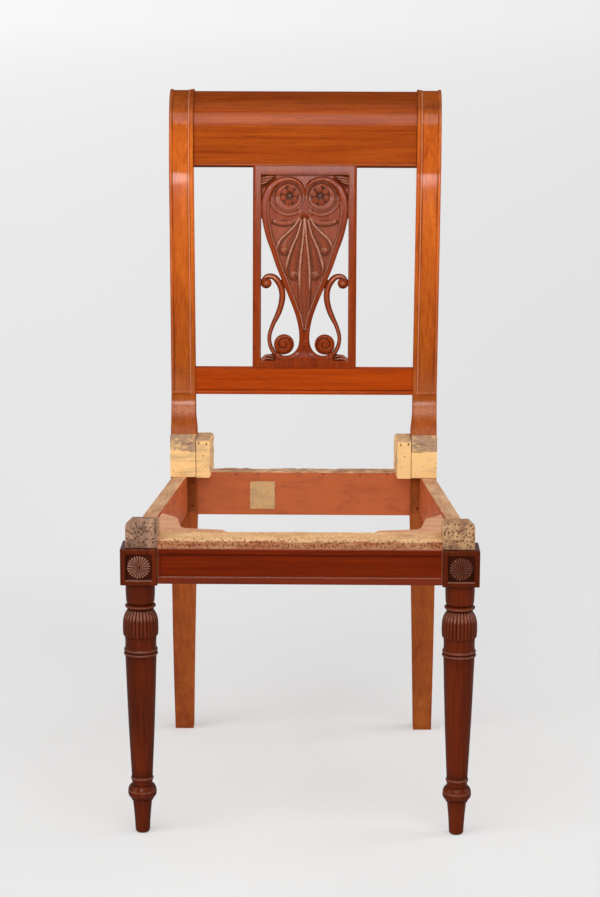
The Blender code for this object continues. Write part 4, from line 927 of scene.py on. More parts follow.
def turned_profile():
    """Radius, height and reeding up the turned leg. Between two heights a moulding's radius goes straight
    from one value to the next plus a swell times the sine of the share, or follows a quarter ellipse."""
    (_, foot_top, knob_middle, knob_top, ankle_top, ankle_ring_top, shaft_top, collar_top, band_top,
     bulb_top, neck_ring_top, cup_top) = LEG_LEVELS
    profile = []

    def moulding(low, high, start, end, swell=0.0, steps=8, reeding=0.0):
        share = np.linspace(0, 1, steps + 1)
        radius = start + (end - start) * share + swell * np.sin(np.pi * share)
        profile.append(np.stack([radius, low + (high - low) * share, np.full(steps + 1, reeding)], 1))

    def quarter(low, high, start, end, rising, steps=8, reeding=0.0):
        turn = np.linspace(0, np.pi / 2, steps + 1)
        share = np.sin(turn) if rising else 1 - np.cos(turn)
        climb = 1 - np.cos(turn) if rising else np.sin(turn)
        radius = start + (end - start) * share
        profile.append(np.stack([radius, low + (high - low) * climb, np.full(steps + 1, reeding)], 1))

    ring_top = foot_top + FOOT_RING_HEIGHT
    quarter(0.0, FOOT_ROUNDING, FOOT_FLAT_RADIUS, FOOT_FLAT_RADIUS + FOOT_ROUNDING, True, 6)
    moulding(FOOT_ROUNDING, foot_top, FOOT_FLAT_RADIUS + FOOT_ROUNDING, FOOT_TOP_RADIUS, -0.0003, 8)
    moulding(foot_top, ring_top, FOOT_TOP_RADIUS, FOOT_TOP_RADIUS, FOOT_RING_RADIUS - FOOT_TOP_RADIUS, 8)
    quarter(ring_top, knob_middle, FOOT_TOP_RADIUS + 0.0008, KNOB_RADIUS, True, 8)
    moulding(knob_middle, knob_middle + 0.0012, KNOB_RADIUS, KNOB_RADIUS - 0.0001, -0.0005, 4)
    quarter(knob_middle + 0.0012, knob_top, KNOB_RADIUS - 0.0001, ANKLE_RADIUS, False, 8)
    moulding(knob_top, ankle_top, ANKLE_RADIUS, ANKLE_RADIUS, -0.0005, 6)
    moulding(ankle_top, ankle_ring_top, ANKLE_RADIUS, SHAFT_FOOT_RADIUS - 0.0006,
             ANKLE_RING_RADIUS - ANKLE_RADIUS, 8)
    moulding(ankle_ring_top, shaft_top, SHAFT_FOOT_RADIUS, SHAFT_HEAD_RADIUS, 0.0005, 14)
    middle = (shaft_top + collar_top) / 2
    swell = COLLAR_RADIUS - SHAFT_HEAD_RADIUS
    moulding(shaft_top, middle, SHAFT_HEAD_RADIUS, SHAFT_HEAD_RADIUS, swell + 0.0003, 8)
    moulding(middle, collar_top, SHAFT_HEAD_RADIUS, SHAFT_HEAD_RADIUS, swell, 8)
    moulding(collar_top, band_top, BAND_RADIUS - 0.0004, BAND_RADIUS, -0.0004, 8)
    moulding(band_top, band_top + 0.0012, BAND_RADIUS, BULB_RADIUS - 0.0004, 0.0, 3, 0.5)
    belly = band_top + BULB_HEIGHT * 0.45
    shoulder = band_top + BULB_HEIGHT * 0.56
    moulding(band_top + 0.0012, belly, BULB_RADIUS - 0.0004, BULB_RADIUS, 0.0003, 10, 1.0)
    moulding(belly, shoulder, BULB_RADIUS, BULB_RADIUS - 0.0002, 0.0, 3, 1.0)
    moulding(shoulder, bulb_top, BULB_RADIUS - 0.0002, BULB_NECK_RADIUS, 0.0014, 16, 1.0)
    moulding(bulb_top, bulb_top + 0.0014, BULB_NECK_RADIUS, BULB_NECK_RADIUS, 0.0007, 4)
    moulding(bulb_top + 0.0014, neck_ring_top, BULB_NECK_RADIUS, BULB_NECK_RADIUS,
             NECK_RING_RADIUS - BULB_NECK_RADIUS + 0.0006, 10)
    collar_low = cup_top - CUP_COLLAR_HEIGHT
    cup_low = neck_ring_top + 0.0045
    quarter(neck_ring_top, cup_low, CUP_FOOT_RADIUS - 0.0024, CUP_FOOT_RADIUS + 0.0008, True, 8)
    moulding(cup_low, collar_low, CUP_FOOT_RADIUS + 0.0008, CUP_HEAD_RADIUS, 0.0003, 8)
    moulding(collar_low, cup_top, CUP_HEAD_RADIUS - 0.0004, CUP_HEAD_RADIUS - 0.0004, 0.0013, 8)
    moulding(cup_top, cup_top + 0.0015, CUP_HEAD_RADIUS - 0.0006, CUP_HEAD_RADIUS - 0.0006, 0.0, 1)
    points = np.concatenate(profile)
    repeated = np.concatenate([[False], np.all(np.abs(np.diff(points[:, :2], axis=0)) < 1e-7, axis=1)])
    return points[~repeated].T


def turned_leg(shape, side, sizes):
    """Adds the turned part of a leg: the profile swung round its axis, with round reeds on the bulb. A reed
    stands full in its middle and falls to the reed depth at its sides as a half circle does."""
    radius, height, reeding = turned_profile()
    turn = np.arange(sizes.reeds * REED_STEPS) / REED_STEPS
    across = 2 * (turn - np.floor(turn)) - 1
    fall = 1 - np.sqrt(np.clip(1 - across ** 2, 0, 1))
    narrow = np.clip((radius - BULB_NECK_RADIUS) / (BULB_RADIUS - BULB_NECK_RADIUS), 0.25, 1)
    cut = sizes.reed_depth * (reeding * narrow)[:, None] * fall[None, :]
    angle = turn[None, :] * 2 * np.pi / sizes.reeds
    middle = side * (FRONT_WIDTH / 2 - LEG_BLOCK / 2)
    points = np.stack([middle + (radius[:, None] - cut) * np.cos(angle),
                       FRONT + LEG_BLOCK / 2 + (radius[:, None] - cut) * np.sin(angle),
                       np.broadcast_to(height[:, None], cut.shape)], -1)
    # Darker in the nooks of the profile and between the reeds: painted shade and grime.
    slope = np.gradient(np.gradient(radius, np.arange(len(radius))), np.arange(len(radius)))
    nook = smooth(slope / 0.0005)[:, None] * 0.9
    between = reeding[:, None] * smooth((fall[None, :] - 0.25) / 0.7) * 0.9
    hollow = np.clip(np.maximum(nook, between), 0, 1)
    # Pale on the reed crowns: a little wear everywhere and a painted highlight on the shoulder of the bulb.
    # The thin pale lines on the ring tops are painted glints.
    crown = smooth((0.3 - fall[None, :]) / 0.25)
    shoulder = smooth((height - LEG_LEVELS[8] - BULB_HEIGHT * 0.6) / 0.006)
    below = LEG_LEVELS[RING_BELOW]
    crowns = below + np.array(RING_SHARE) * (LEG_LEVELS[RING_ABOVE] - below)
    rings = 0.17 * near(height[:, None] - crowns, 0.0011).max(1) * (reeding == 0)
    ridge = np.maximum(reeding[:, None] * crown * (0.03 + 0.24 * shoulder)[:, None], rings[:, None])
    shape.tube(points, hollow, ridge)


def rosette_relief(across, up, sizes):
    """Depth under the face of a leg block: a sunk square, and in it a low dome cut into petals. Each petal
    is round across, with a narrow gap to the next and a rounded outer end; the dome's middle stays plain."""
    edge = sizes.panel_size / 2 - np.maximum(np.abs(across), np.abs(up))
    floor = sizes.panel_depth * smooth(edge / 0.0009)
    away = np.hypot(across, up)
    petal = np.arctan2(up, across) * sizes.petals / (2 * np.pi)
    off_middle = 2 * (petal - np.floor(petal)) - 1
    rim = sizes.rosette_radius * (1 - 0.09 * off_middle ** 2)
    inside = smooth((rim - away) / 0.0009)
    share = np.clip(away / sizes.rosette_radius, 0, 1)
    opened = smooth((share - 0.08) / 0.16)
    gap = 0.0013 * np.abs(off_middle) ** 3 * opened
    dome = sizes.rosette_rise * (1 - 0.3 * share ** 2)
    dot = 0.0004 * smooth((0.0008 - away) / 0.0005)
    depth = floor - inside * (dome - gap - dot) * (floor > 0)
    trough = inside * smooth((np.abs(off_middle) - 0.45) / 0.4) * opened
    stroke = inside * smooth((0.75 - np.abs(off_middle)) / 0.4) * opened
    return depth, np.maximum(trough, dot / 0.0008), stroke, inside


def leg_block(shape, side, sizes):
    """Adds the square block of a leg: a rounded square carried up, its front and outer faces carved."""
    section = Section((100, 100, 4, 4), (sizes.arris,) * 4)
    ease = sizes.arris * np.array([0.0, 0.2, 0.55, 1.0])
    level = np.concatenate([ease, np.linspace(sizes.arris, LEG_BLOCK_HEIGHT - sizes.arris, 100)[1:-1],
                            LEG_BLOCK_HEIGHT - ease[::-1]])
    near_end = np.clip(sizes.arris - np.minimum(level, LEG_BLOCK_HEIGHT - level), 0, None)
    inset = sizes.arris - np.sqrt(sizes.arris ** 2 - near_end ** 2)
    width = LEG_BLOCK - 2 * inset
    across = inset[:, None] + section.across(width)
    deep = inset[:, None] + section.deep(width)
    up = (level - LEG_BLOCK_HEIGHT / 2)[:, None] + np.zeros_like(across)
    hollow = np.zeros_like(across)
    ridge = np.zeros_like(across)
    for number in (0, 1):
        face = section.side == number
        sideways = (across if number == 0 else deep)[:, face] - LEG_BLOCK / 2
        depth, trough, stroke, inside = rosette_relief(sideways, up[:, face], sizes)
        if number == 0:
            deep[:, face] += depth
        else:
            across[:, face] -= depth
        # The sunk panel and the gaps between the petals are darker: painted shade and grime; the right block
        # is darker overall. The pale line along the panel's lower edge is a painted highlight, and the pale
        # petal middles are wear and painted highlights.
        sunk = smooth(depth / sizes.panel_depth) * (1 - inside)
        hollow[:, face] = np.clip(sunk * 0.8 + trough * 0.8 + (0.3 if side > 0 else 0.0), 0, 0.9)
        sill = smooth(1 - np.abs(up[:, face] + sizes.panel_size / 2 + 0.0005) / 0.0011) * 0.4
        sill = sill * (np.abs(sideways) < sizes.panel_size / 2)
        ridge[:, face] = np.maximum(sill, stroke * (0.44 if side < 0 else 0.15))
    height = LEG_BLOCK_BOTTOM + LEG_BLOCK_HEIGHT / 2 + up
    points = np.stack([side * (LEG_INNER + across), FRONT + deep, height], -1)
    shape.tube(points, hollow, ridge)


def upper_block(shape, side, sizes):
    """Adds the bare top of a leg: a rounded rectangle carried up, drawn in on the front and outside where it
    is bevelled, and closed by a lid of shrinking rings that slopes down at the back. Tack holes and torn
    fibres go in from the faces."""
    wide = LEG_BLOCK - UPPER_BLOCK_SETBACK
    section = Section((66, 66, 16, 16), (sizes.arris,) * 4)
    face_top = LEG_BLOCK_TOP + UPPER_BLOCK_FACE
    top = face_top + UPPER_BLOCK_CHAMFER
    level = np.concatenate([np.linspace(LEG_BLOCK_TOP + SEAM, face_top, 48),
                            np.linspace(face_top, top, 18)[1:]])
    drawn_in = np.clip(level - face_top, 0, None)
    across = section.across(wide - drawn_in)
    deep = UPPER_BLOCK_SETBACK + drawn_in[:, None] + section.deep(wide - drawn_in)
    height = level[:, None] + np.zeros_like(across)
    seed = 11 if side < 0 else 12
    hollow = np.zeros_like(across)
    soil = np.zeros_like(across)
    for number in (0, 1):
        face = section.side == number
        sideways = (across if number == 0 else deep)[:, face]
        holes = np.concatenate([
            scattered(seed + 10 * number + row, 0.002, wide, low, low + reach, sizes.tack_spacing * spacing)
            for row, (low, reach, spacing) in enumerate((
                (LEG_BLOCK_TOP + 0.002, 0.010, 0.27), (LEG_BLOCK_TOP + 0.010, 0.012, 0.24),
                (face_top - 0.008, 0.008, 0.28), (face_top + 0.0025, 0.0015, 0.6)))])
        pit = pits(sideways, height[:, face], holes, sizes.tack_radius * 0.95)
        torn = 0.0006 * soft_noise(sideways * 500, height[:, face] * 160, seed + number)
        inside = sizes.tack_depth * pit + np.clip(torn, -0.0001, None)
        if number == 0:
            deep[:, face] += inside
        else:
            across[:, face] -= inside
        hollow[:, face] = pit
        soil[:, face] = 0.3 + 0.5 * soft_noise(sideways * 120, height[:, face] * 90, seed + 5)
    body = np.stack([side * (LEG_INNER + across), FRONT + deep, height], -1)
    last = body[-1]
    middle = last.mean(0)
    shares = np.linspace(0.94, 0.04, LID_RINGS)[:, None, None]
    lid = middle + (last - middle) * shares
    points = np.concatenate([body, lid])
    crown = FRONT + UPPER_BLOCK_SETBACK + UPPER_BLOCK_CHAMFER + UPPER_BLOCK_FLAT
    lowered = np.clip(points[..., 1] - crown, 0, None) * math.tan(UPPER_BLOCK_SLOPE)
    grown = (points[..., 2] - LEG_BLOCK_TOP) / (top - LEG_BLOCK_TOP)
    points[..., 2] -= lowered * np.clip(grown, 0, 1)
    more = np.zeros((LID_RINGS, len(last)))
    shape.tube(points, np.concatenate([hollow, more]), np.concatenate([soil, more + 0.35]))


# Back

def stile_relief(across, width, mark, sizes):
    """Depth under the front of a stile: beads along both edges and across the foot, a step beside the inner
    bead and a sunk flat between. Each bead is a half circle across its width; where two meet the higher
    wins."""
    outer = (width - across) / sizes.outer_bead
    foot = (mark - LOWER_RAIL_MARK) / LOWER_RAIL_BEAD + np.zeros_like(across)
    inner = across / sizes.inner_bead
    past_bead = across - sizes.inner_bead
    step = np.clip(past_bead / sizes.inner_fillet, 0, None)

    def bead(share):
        inside = np.clip(2 * share - 1, -1, 1)
        round_top = 0.0013 * (1 - np.sqrt(1 - inside ** 2))
        return np.where(share < 1, round_top, sizes.stile_recess + 0.0005 * near(share - 1.1, 0.09))

    fillet = FILLET_DEPTH + (sizes.stile_recess - FILLET_DEPTH) * smooth((step - 1) / 0.15)
    fillet = np.where(across > sizes.inner_bead, fillet, FAR_BELOW)
    depth = np.minimum(np.minimum(bead(outer), bead(foot)), np.minimum(bead(inner), fillet))
    above = foot >= 0
    depth = np.where(above, depth, 0.0006 * smooth(-foot / 0.15))
    # Dark lines in the quirks beside the beads and over the foot bead are painted shade and dirt; pale lines
    # on the bead crowns are painted highlights and wear.
    beside_fillet = near(past_bead - sizes.inner_fillet - 0.0003, 0.0006)
    dark = np.maximum.reduce([near(outer - 1.12, 0.13), near(foot - 1.12, 0.12), near(past_bead, 0.0005),
                              beside_fillet])
    dark = dark * (1 - smooth((0.9 - foot) * 9) * (across > sizes.inner_bead))
    dark = np.where(above, dark, near(foot + 0.1, 0.1))
    pale = np.maximum(0.3 * near(outer - 0.5, 0.3), near(past_bead - sizes.inner_fillet / 2, 0.0008))
    return depth, dark, np.where(above, pale, 0.0)


def stile(shape, side, sizes):
    """Adds a stile: a rounded rectangle carried up the profile of the back, square to it, with the beads cut
    into its front. The foot is cut level and the rolled end is rounded over like a nose."""
    close = np.arange(-4, 28) * 0.0004 + LOWER_RAIL_MARK
    in_seat = LEG_MARK + np.arange(0.0, SIDE_RAIL_TOP - SEAT_RAIL_BOTTOM + 0.004, 0.0006)
    marks = np.unique(np.round(np.concatenate([even_marks(0.0, ROLL_MARK, 0.0045), close, in_seat]), 6))
    y, z, tilt = stile_front(marks)
    depth = np.interp(marks, [0, LEG_MARK, CONSOLE_MARK, LOWER_RAIL_MARK, ROLL_MARK],
                      [REAR_FOOT_DEPTH, SEAT_POST_DEPTH, SEAT_POST_DEPTH, BACK_POST_DEPTH, BACK_POST_DEPTH])
    back_y = np.cos(tilt)
    back_z = -np.sin(tilt)
    back_y[0] = 1 / np.cos(tilt[0])
    back_z[0] = 0.0
    section = Section((92, 6, 8, 6), (sizes.arris,) * 4)
    width = outer_half(z) - inner_half(z)
    across = section.across(width)
    deep = section.deep(depth)
    hollow = np.zeros_like(across)
    ridge = np.zeros_like(across)
    face = section.side == 0
    relief, dark, pale = stile_relief(across[:, face], width[:, None], marks[:, None], sizes)
    holes = STILE_HOLES["left" if side < 0 else "right"]
    pit = pits(across[:, face], z[:, None], holes, sizes.tack_radius)
    deep[:, face] += relief + sizes.tack_depth * pit
    on_back = smooth((marks - LOWER_RAIL_MARK + 0.002) / 0.002)[:, None]
    uneven = np.clip(0.62 + 0.5 * soft_noise(marks[:, None] * 21, across[:, face] * 40, 17), 0.25, 0.95)
    patina = 0.16 * np.clip(soft_noise(marks[:, None] * 9, across[:, face] * 30, 18), 0, 1)
    hollow[:, face] = np.maximum(np.maximum(dark * uneven, patina), pit)
    # Painted sheen: the wear colour in two bands across the console stands in for a reflection there.
    sheen = 0.48 * near(z - CONSOLE_SHEEN, 0.009) + 0.2 * near(z - CONSOLE_SHEEN + 0.03, 0.008)
    ridge[:, face] = np.maximum(pale * 0.42 * on_back, sheen[:, None])
    # Painted shade along the front outer corner of the stile.
    edge = np.flatnonzero(section.side == -1)[:CORNER_STEPS]
    hollow[:, edge] = 0.45
    below = 0.54 * (1 - smooth((marks - LEG_MARK) / (CONSOLE_MARK - LEG_MARK)))
    # Inside the seat the stile's front is darker: painted shade and dirt.
    boxed = (z > SEAT_RAIL_BOTTOM + 0.001) & (z < SIDE_RAIL_TOP)
    console = 0.42 * smooth((z - SIDE_RAIL_TOP) / 0.02)
    console = console * (1 - smooth((marks - LOWER_RAIL_MARK + 0.012) / 0.012))
    # Over the roll the stile is darker and its polish duller: painted shade.
    rolled = 0.6 * smooth((tilt - math.radians(18)) / math.radians(14)) * (marks > CREST_MARK)
    lower = 0.46 * smooth((STILE_FADE - z) / 0.28)
    toned = np.maximum.reduce([below, console, rolled, lower])
    dusty = 0.1 * smooth((STILE_DUST - z) / 0.06) * (marks > LOWER_RAIL_MARK)
    ridge = np.maximum(ridge, np.maximum(0.11 * below, dusty)[:, None])
    hollow = np.maximum(hollow, toned[:, None])
    hollow[:, face] = np.maximum(hollow[:, face], 0.72 * boxed[:, None])
    deep = depth[:, None] / 2 + (deep - depth[:, None] / 2) * nose(marks)[:, None]
    height = z[:, None] + back_z[:, None] * deep
    x = side * (inner_half(height) + across)
    points = np.stack([x, y[:, None] + back_y[:, None] * deep, height], -1)
    shape.tube(points, hollow, ridge)


def crest_rail(shape):
    """Adds the crest: a band along the rolled profile, front and back a set depth behind the stiles' front,
    carried across between the stiles; its far end is rounded over and its foot edges are eased."""
    marks = even_marks(CREST_MARK, ROLL_MARK, 0.003)
    marks = np.unique(np.concatenate([marks, CREST_MARK + np.array([0.0003, 0.0008, 0.0015])]))
    half = CREST_THICK / 2 * nose(marks)
    lip = 0.0008 * (1 - smooth((marks - CREST_MARK) / 0.0012))
    middle = CREST_SETBACK + CREST_THICK / 2
    front_y, front_z = behind(marks, middle - half + lip)
    back_y, back_z = behind(marks, middle + half - lip)
    ring_y = np.concatenate([front_y, back_y[::-1]])
    ring_z = np.concatenate([front_z, back_z[::-1]])
    share = np.concatenate([[-1, -0.994], np.linspace(-0.988, 0.988, 41), [0.994, 1]])[:, None]
    x = share * (inner_half(ring_z) - SEAM)
    points = np.stack(np.broadcast_arrays(x, ring_y, ring_z), -1)
    tilt = stile_front(marks)[2]
    # Dark along the crest's foot: the joint over the splat, with painted shade under its lip. Darker over
    # the roll: painted shade and dirt.
    seam = 0.75 * (1 - smooth((marks - CREST_MARK) / 0.0014))
    rolled = 0.34 * smooth((tilt - math.radians(28)) / math.radians(14))
    tone = np.maximum(seam, rolled)
    tone = np.concatenate([tone, tone[::-1]])
    beside = 0.55 * smooth((np.abs(share) - 0.988) / 0.01)
    shape.tube(points, np.maximum(tone[None, :], beside), 0.0, strip_ends=True)


def lower_rail(shape):
    """Adds the lower rail of the back: an eased outline with a bead along its foot and a level top, carried
    across between the stiles."""
    face = LOWER_RAIL_SETBACK
    bead = np.linspace(-1, 1, 11)
    bead_marks = LOWER_RAIL_MARK + LOWER_RAIL_BEAD * (bead + 1) / 2
    bead_y, bead_z = behind(bead_marks, 0.0014 * (1 - np.sqrt(1 - (bead * 0.98) ** 2)))
    quirk_y, quirk_z = behind(np.array([0.0002, 0.0009, 0.0012]) + LOWER_RAIL_MARK + LOWER_RAIL_BEAD,
                              np.array([face + 0.0004, face + 0.0004, face]))
    face_marks = np.linspace(LOWER_RAIL_MARK + LOWER_RAIL_BEAD + 0.0016, LOWER_RAIL_TOP_MARK - 0.0006, 16)
    face_y, face_z = behind(face_marks, face)
    top_y, top_z = behind(LOWER_RAIL_TOP_MARK, face)
    back_low_y, back_low_z = behind(LOWER_RAIL_MARK, LOWER_RAIL_THICK)
    back_top_y = back_low_y + (top_z - back_low_z) * math.tan(BACK_RAKE)
    top_run = np.linspace(top_y + 0.0007, back_top_y - 0.0006, 8)
    back_share = np.linspace(0.02, 0.98, 8)
    back_run_y = back_top_y + (back_low_y - back_top_y) * back_share
    back_run_z = top_z + (back_low_z - top_z) * back_share
    y = np.concatenate([bead_y, quirk_y, face_y, top_run, back_run_y])
    z = np.concatenate([bead_z, quirk_z, face_z, np.full(8, top_z), back_run_z])
    share = np.linspace(-1, 1, 61)[:, None]
    points = np.stack(np.broadcast_arrays(share * (inner_half(z) - SEAM), y, z), -1)
    hollow = np.zeros_like(y)
    # Painted shade and dirt in the quirk above the bead.
    hollow[len(bead):len(bead) + 3] = (0.7, 0.7, 0.3)
    shape.tube(points, np.broadcast_to(hollow, points.shape[:2]), 0.0)


# Splat

def smooth_line(corners, steps=7):
    """A line that bends smoothly through its corners: each stretch is a cubic that leaves and arrives in the
    direction of the neighbouring corners."""
    corners = np.asarray(corners, float)
    padded = np.concatenate([[2 * corners[0] - corners[1]], corners, [2 * corners[-1] - corners[-2]]])
    share = np.linspace(0, 1, steps, endpoint=False)[:, None]
    parts = []
    for before, start, end, after in zip(padded, padded[1:], padded[2:], padded[3:]):
        bend = (2 * before - 5 * start + 4 * end - after) * share ** 2
        twist = (3 * start - before - 3 * end + after) * share ** 3
        parts.append(0.5 * (2 * start + (end - before) * share + bend + twist))
    return np.concatenate([*parts, corners[-1:]])


def from_line(corners, u, v):
    """Distance of each point from a smooth line, and how far along it the nearest place lies (0 to 1)."""
    line = smooth_line(corners)
    steps = np.diff(line, axis=0)
    lengths = np.linalg.norm(steps, axis=1)
    starts = np.concatenate([[0], np.cumsum(lengths)])
    nearest = np.full(u.shape, 1e9)
    way = np.zeros(u.shape)
    for start, step, run, before in zip(line, steps, lengths, starts):
        along = np.clip(((u - start[0]) * step[0] + (v - start[1]) * step[1]) / run ** 2, 0, 1)
        away = np.hypot(u - start[0] - along * step[0], v - start[1] - along * step[1])
        closer = away < nearest
        nearest = np.where(closer, away, nearest)
        way = np.where(closer, before + along * run, way)
    return nearest, way / starts[-1]


def knots(value, pairs):
    """A value read off straight lines between knots."""
    places, heights = zip(*pairs)
    return np.interp(value, places, heights)


def spiral_groove(u, v, centre, pitch):
    """1 along a groove that winds out from the centre by one pitch a turn, falling to 0 beside it."""
    away = np.hypot(u - centre[0], v - centre[1])
    turn = np.arctan2(v - centre[1], u - centre[0]) / (2 * np.pi)
    phase = away / pitch - turn
    off = np.abs(phase - np.round(phase)) * pitch
    return near(off, 0.75) * smooth((away - 1.6) / 0.8)


def raised(away, half, top, crown):
    """Depth of a ridge: its crown falls by the square of the distance from its line, then its sides drop
    away."""
    across = np.clip(away / np.maximum(half, 0.1), 0, 1)
    return top + crown * across ** 2 + CARVED_SLOPE * np.clip(away - half, 0, None)


def rim_at(rim, v):
    """How far from the middle a leaf's rim lies at each height."""
    line = smooth_line(rim)
    return np.interp(v, line[:, 1], line[:, 0])


class Carving:
    """Depth, dark and pale of carved points; the dark is dirt and painted shade, the pale is rubbing and
    painted highlights. Of all that is carved at a point the highest shows, and the strongest dark and pale
    stay."""

    def __init__(self, depth, dark, pale):
        self.depth = depth
        self.dark = dark
        self.pale = pale

    def rise(self, depth):
        self.depth = np.minimum(self.depth, depth)

    # Darkens: dirt, and painted shade where the carving would fall into shade.
    def soil(self, dark):
        self.dark = np.maximum(self.dark, dark)

    # Lightens: rubbing, and painted highlights where the carving would catch the light.
    def rub_and_highlight(self, pale):
        self.pale = np.maximum(self.pale, pale)


def eye_relief(u, v, eye):
    """Carving of the round eye: a bowl inside a thin rim, with a flower of round petals, a button in its
    middle and a part ring outside the petals."""
    lower = smooth((EYE_AT[1] + 4 - v) / 10)
    bowl = 0.8 + (EYE_DEPTH - 0.8) * smooth((EYE - eye) / 5.0)
    # The rim's groove and the ground beyond it are darker: painted shade; the rim and the part ring are
    # lighter: painted highlights.
    dark = 0.85 * near(eye - EYE + 1.5, 1.0) * (1 - 0.4 * lower) + 0.5 * near(eye - EYE - 1.3, 0.8)
    carved = Carving(np.where(eye < EYE, bowl, FAR_BELOW), dark, 0.3 * near(eye - EYE, 0.8))
    ring = np.abs(eye - 15.2)
    turned = smooth((EYE_AT[0] + 4 - u) / 8) * smooth((v - EYE_AT[1] - 2) / 4)
    carved.rise(np.where(turned > 0.02, raised(ring, 1.0 * turned, 1.3, 0.5), FAR_BELOW))
    carved.rub_and_highlight(0.4 * near(ring, 0.8) * turned)
    right = u - FLOWER_AT[0]
    above = v - FLOWER_AT[1]
    around = np.hypot(right, above)
    turn = np.arctan2(above, right) * FLOWER_PETALS / (2 * np.pi) + FLOWER_TURN
    middle = (np.round(turn) - FLOWER_TURN) * 2 * np.pi / FLOWER_PETALS
    petal = np.hypot(right - FLOWER_REACH * np.cos(middle), above - FLOWER_REACH * np.sin(middle))
    carved.rise(raised(petal, PETAL, 0.5, 1.5))
    in_flower = smooth((FLOWER_REACH + PETAL - around) / 1.0)
    # Painted shade between the petals and in their veins, and a painted highlight on the upper petals.
    carved.soil(in_flower * smooth((petal - PETAL + 1.0) / 1.2) * 0.85)
    carved.rub_and_highlight(0.2 * near(petal, PETAL * 0.7) * smooth((above + 12) / 12))
    split = around * np.sin((turn - np.round(turn)) * 2 * np.pi / FLOWER_PETALS)
    vein = near(split, 0.7) * smooth((around - 6) / 2) * smooth((14 - around) / 2)
    carved.depth = carved.depth + 0.5 * vein
    carved.soil(0.5 * vein)
    carved.rub_and_highlight(0.07 * (eye < EYE))
    carved.rise(np.where(around < 2.4, 0.8 + 0.1 * around ** 2, FAR_BELOW))
    # A ring of painted shade round the button and a painted highlight on it.
    carved.soil(0.9 * near(around - 3.3, 0.9))
    carved.rub_and_highlight(0.6 * near(around, 1.4))
    carved.depth = np.where(eye < EYE + 2.5, carved.depth, FAR_BELOW)
    return carved


def leaf_relief(u, v):
    """Carving of the palmette: between one rim and the next a leaf is hollowed on both sides of a soft rib,
    each rim is a thin ridge, the leaves end in curled balls and the spear in the middle is fluted."""
    spear = rim_at(SPEAR_RIM, v)
    long_side = rim_at(LONG_RIM, v)
    short_side = rim_at(SHORT_RIM, v)
    carved = Carving(np.full(u.shape, FAR_BELOW), np.zeros(u.shape), np.zeros(u.shape))
    for near_side, far_side, foot in ((long_side, short_side, SHORT_FOOT), (spear, long_side, LONG_FOOT)):
        wide = np.maximum(far_side - near_side, 0.5)
        share = np.clip((u - near_side) / wide, 0, 1)
        cut = smooth(wide / 12) * np.sin(np.pi * share) ** 0.8
        rib = near(share - 0.52, 0.14) * smooth(wide / 14)
        on = (u >= near_side) & (u <= far_side) & (v > foot) & (v < LEAF_HEAD)
        carved.rise(np.where(on, 0.8 + 2.3 * cut - 1.0 * rib, FAR_BELOW))
        # Painted shade along the two troughs of each leaf.
        trough = np.maximum(near(share - 0.24, 0.13), near(share - 0.80, 0.13)) * smooth(wide / 9)
        carved.soil(0.55 * trough * on)
    flutes = 0.5 - 0.5 * np.cos(np.clip(u / np.maximum(spear, 0.1), 0, 1) * 3 * np.pi)
    on_spear = (u <= spear) & (v > 60) & (v < LEAF_HEAD + 2)
    carved.rise(np.where(on_spear, 0.6 + 0.45 * flutes * smooth(spear / 4), FAR_BELOW))
    # Painted shade in the flutes of the spear.
    carved.soil(0.32 * flutes * smooth(spear / 4) * on_spear)
    for rim, width in ((SHORT_RIM, 1.25), (LONG_RIM, 1.15), (SPEAR_RIM, 1.0)):
        away, way = from_line(rim, u, v)
        carved.rise(raised(away, 0.9, 0.3, 0.4))
        faded = smooth((v - 104) / 24) if rim is SPEAR_RIM else 1.0
        # Pale along each rim: wear and painted highlights; painted shade at the foot of the rim.
        rubbed_and_lit = near(away, width * (1.3 - 0.35 * way)) * smooth((way - 0.02) / 0.2) * 0.92
        carved.rub_and_highlight(rubbed_and_lit * faded)
        carved.soil(0.6 * near(away - 2.3, 0.8))
    for at_u, at_v, radius in (SHORT_CURL, LONG_CURL):
        away = np.hypot(u - at_u, v - at_v)
        from_turn = away - radius * 0.55
        carved.rise(raised(away, radius, 0.3, 1.5))
        # Each curl: painted shade in its turn and a painted shadow under it, painted highlights on its upper
        # rim and on one upper spot.
        carved.depth = carved.depth + 0.5 * near(from_turn, 0.6) * (u < at_u + 2)
        carved.soil(0.55 * near(from_turn, 0.7) * (u < at_u + 2))
        carved.soil(0.9 * near(away - radius - 1.0, 1.1) * smooth((at_v - v + 1) / 3))
        carved.pale = np.where(away < radius, carved.pale * 0.2, carved.pale)
        rim = near(away - radius + 0.9, 0.9) * smooth((v - at_v + 1) / 4)
        carved.rub_and_highlight(0.5 * rim)
        carved.rub_and_highlight(0.55 * near(np.hypot(u - at_u - 1.2, v - at_v - 1.6), 1.4))
    return carved


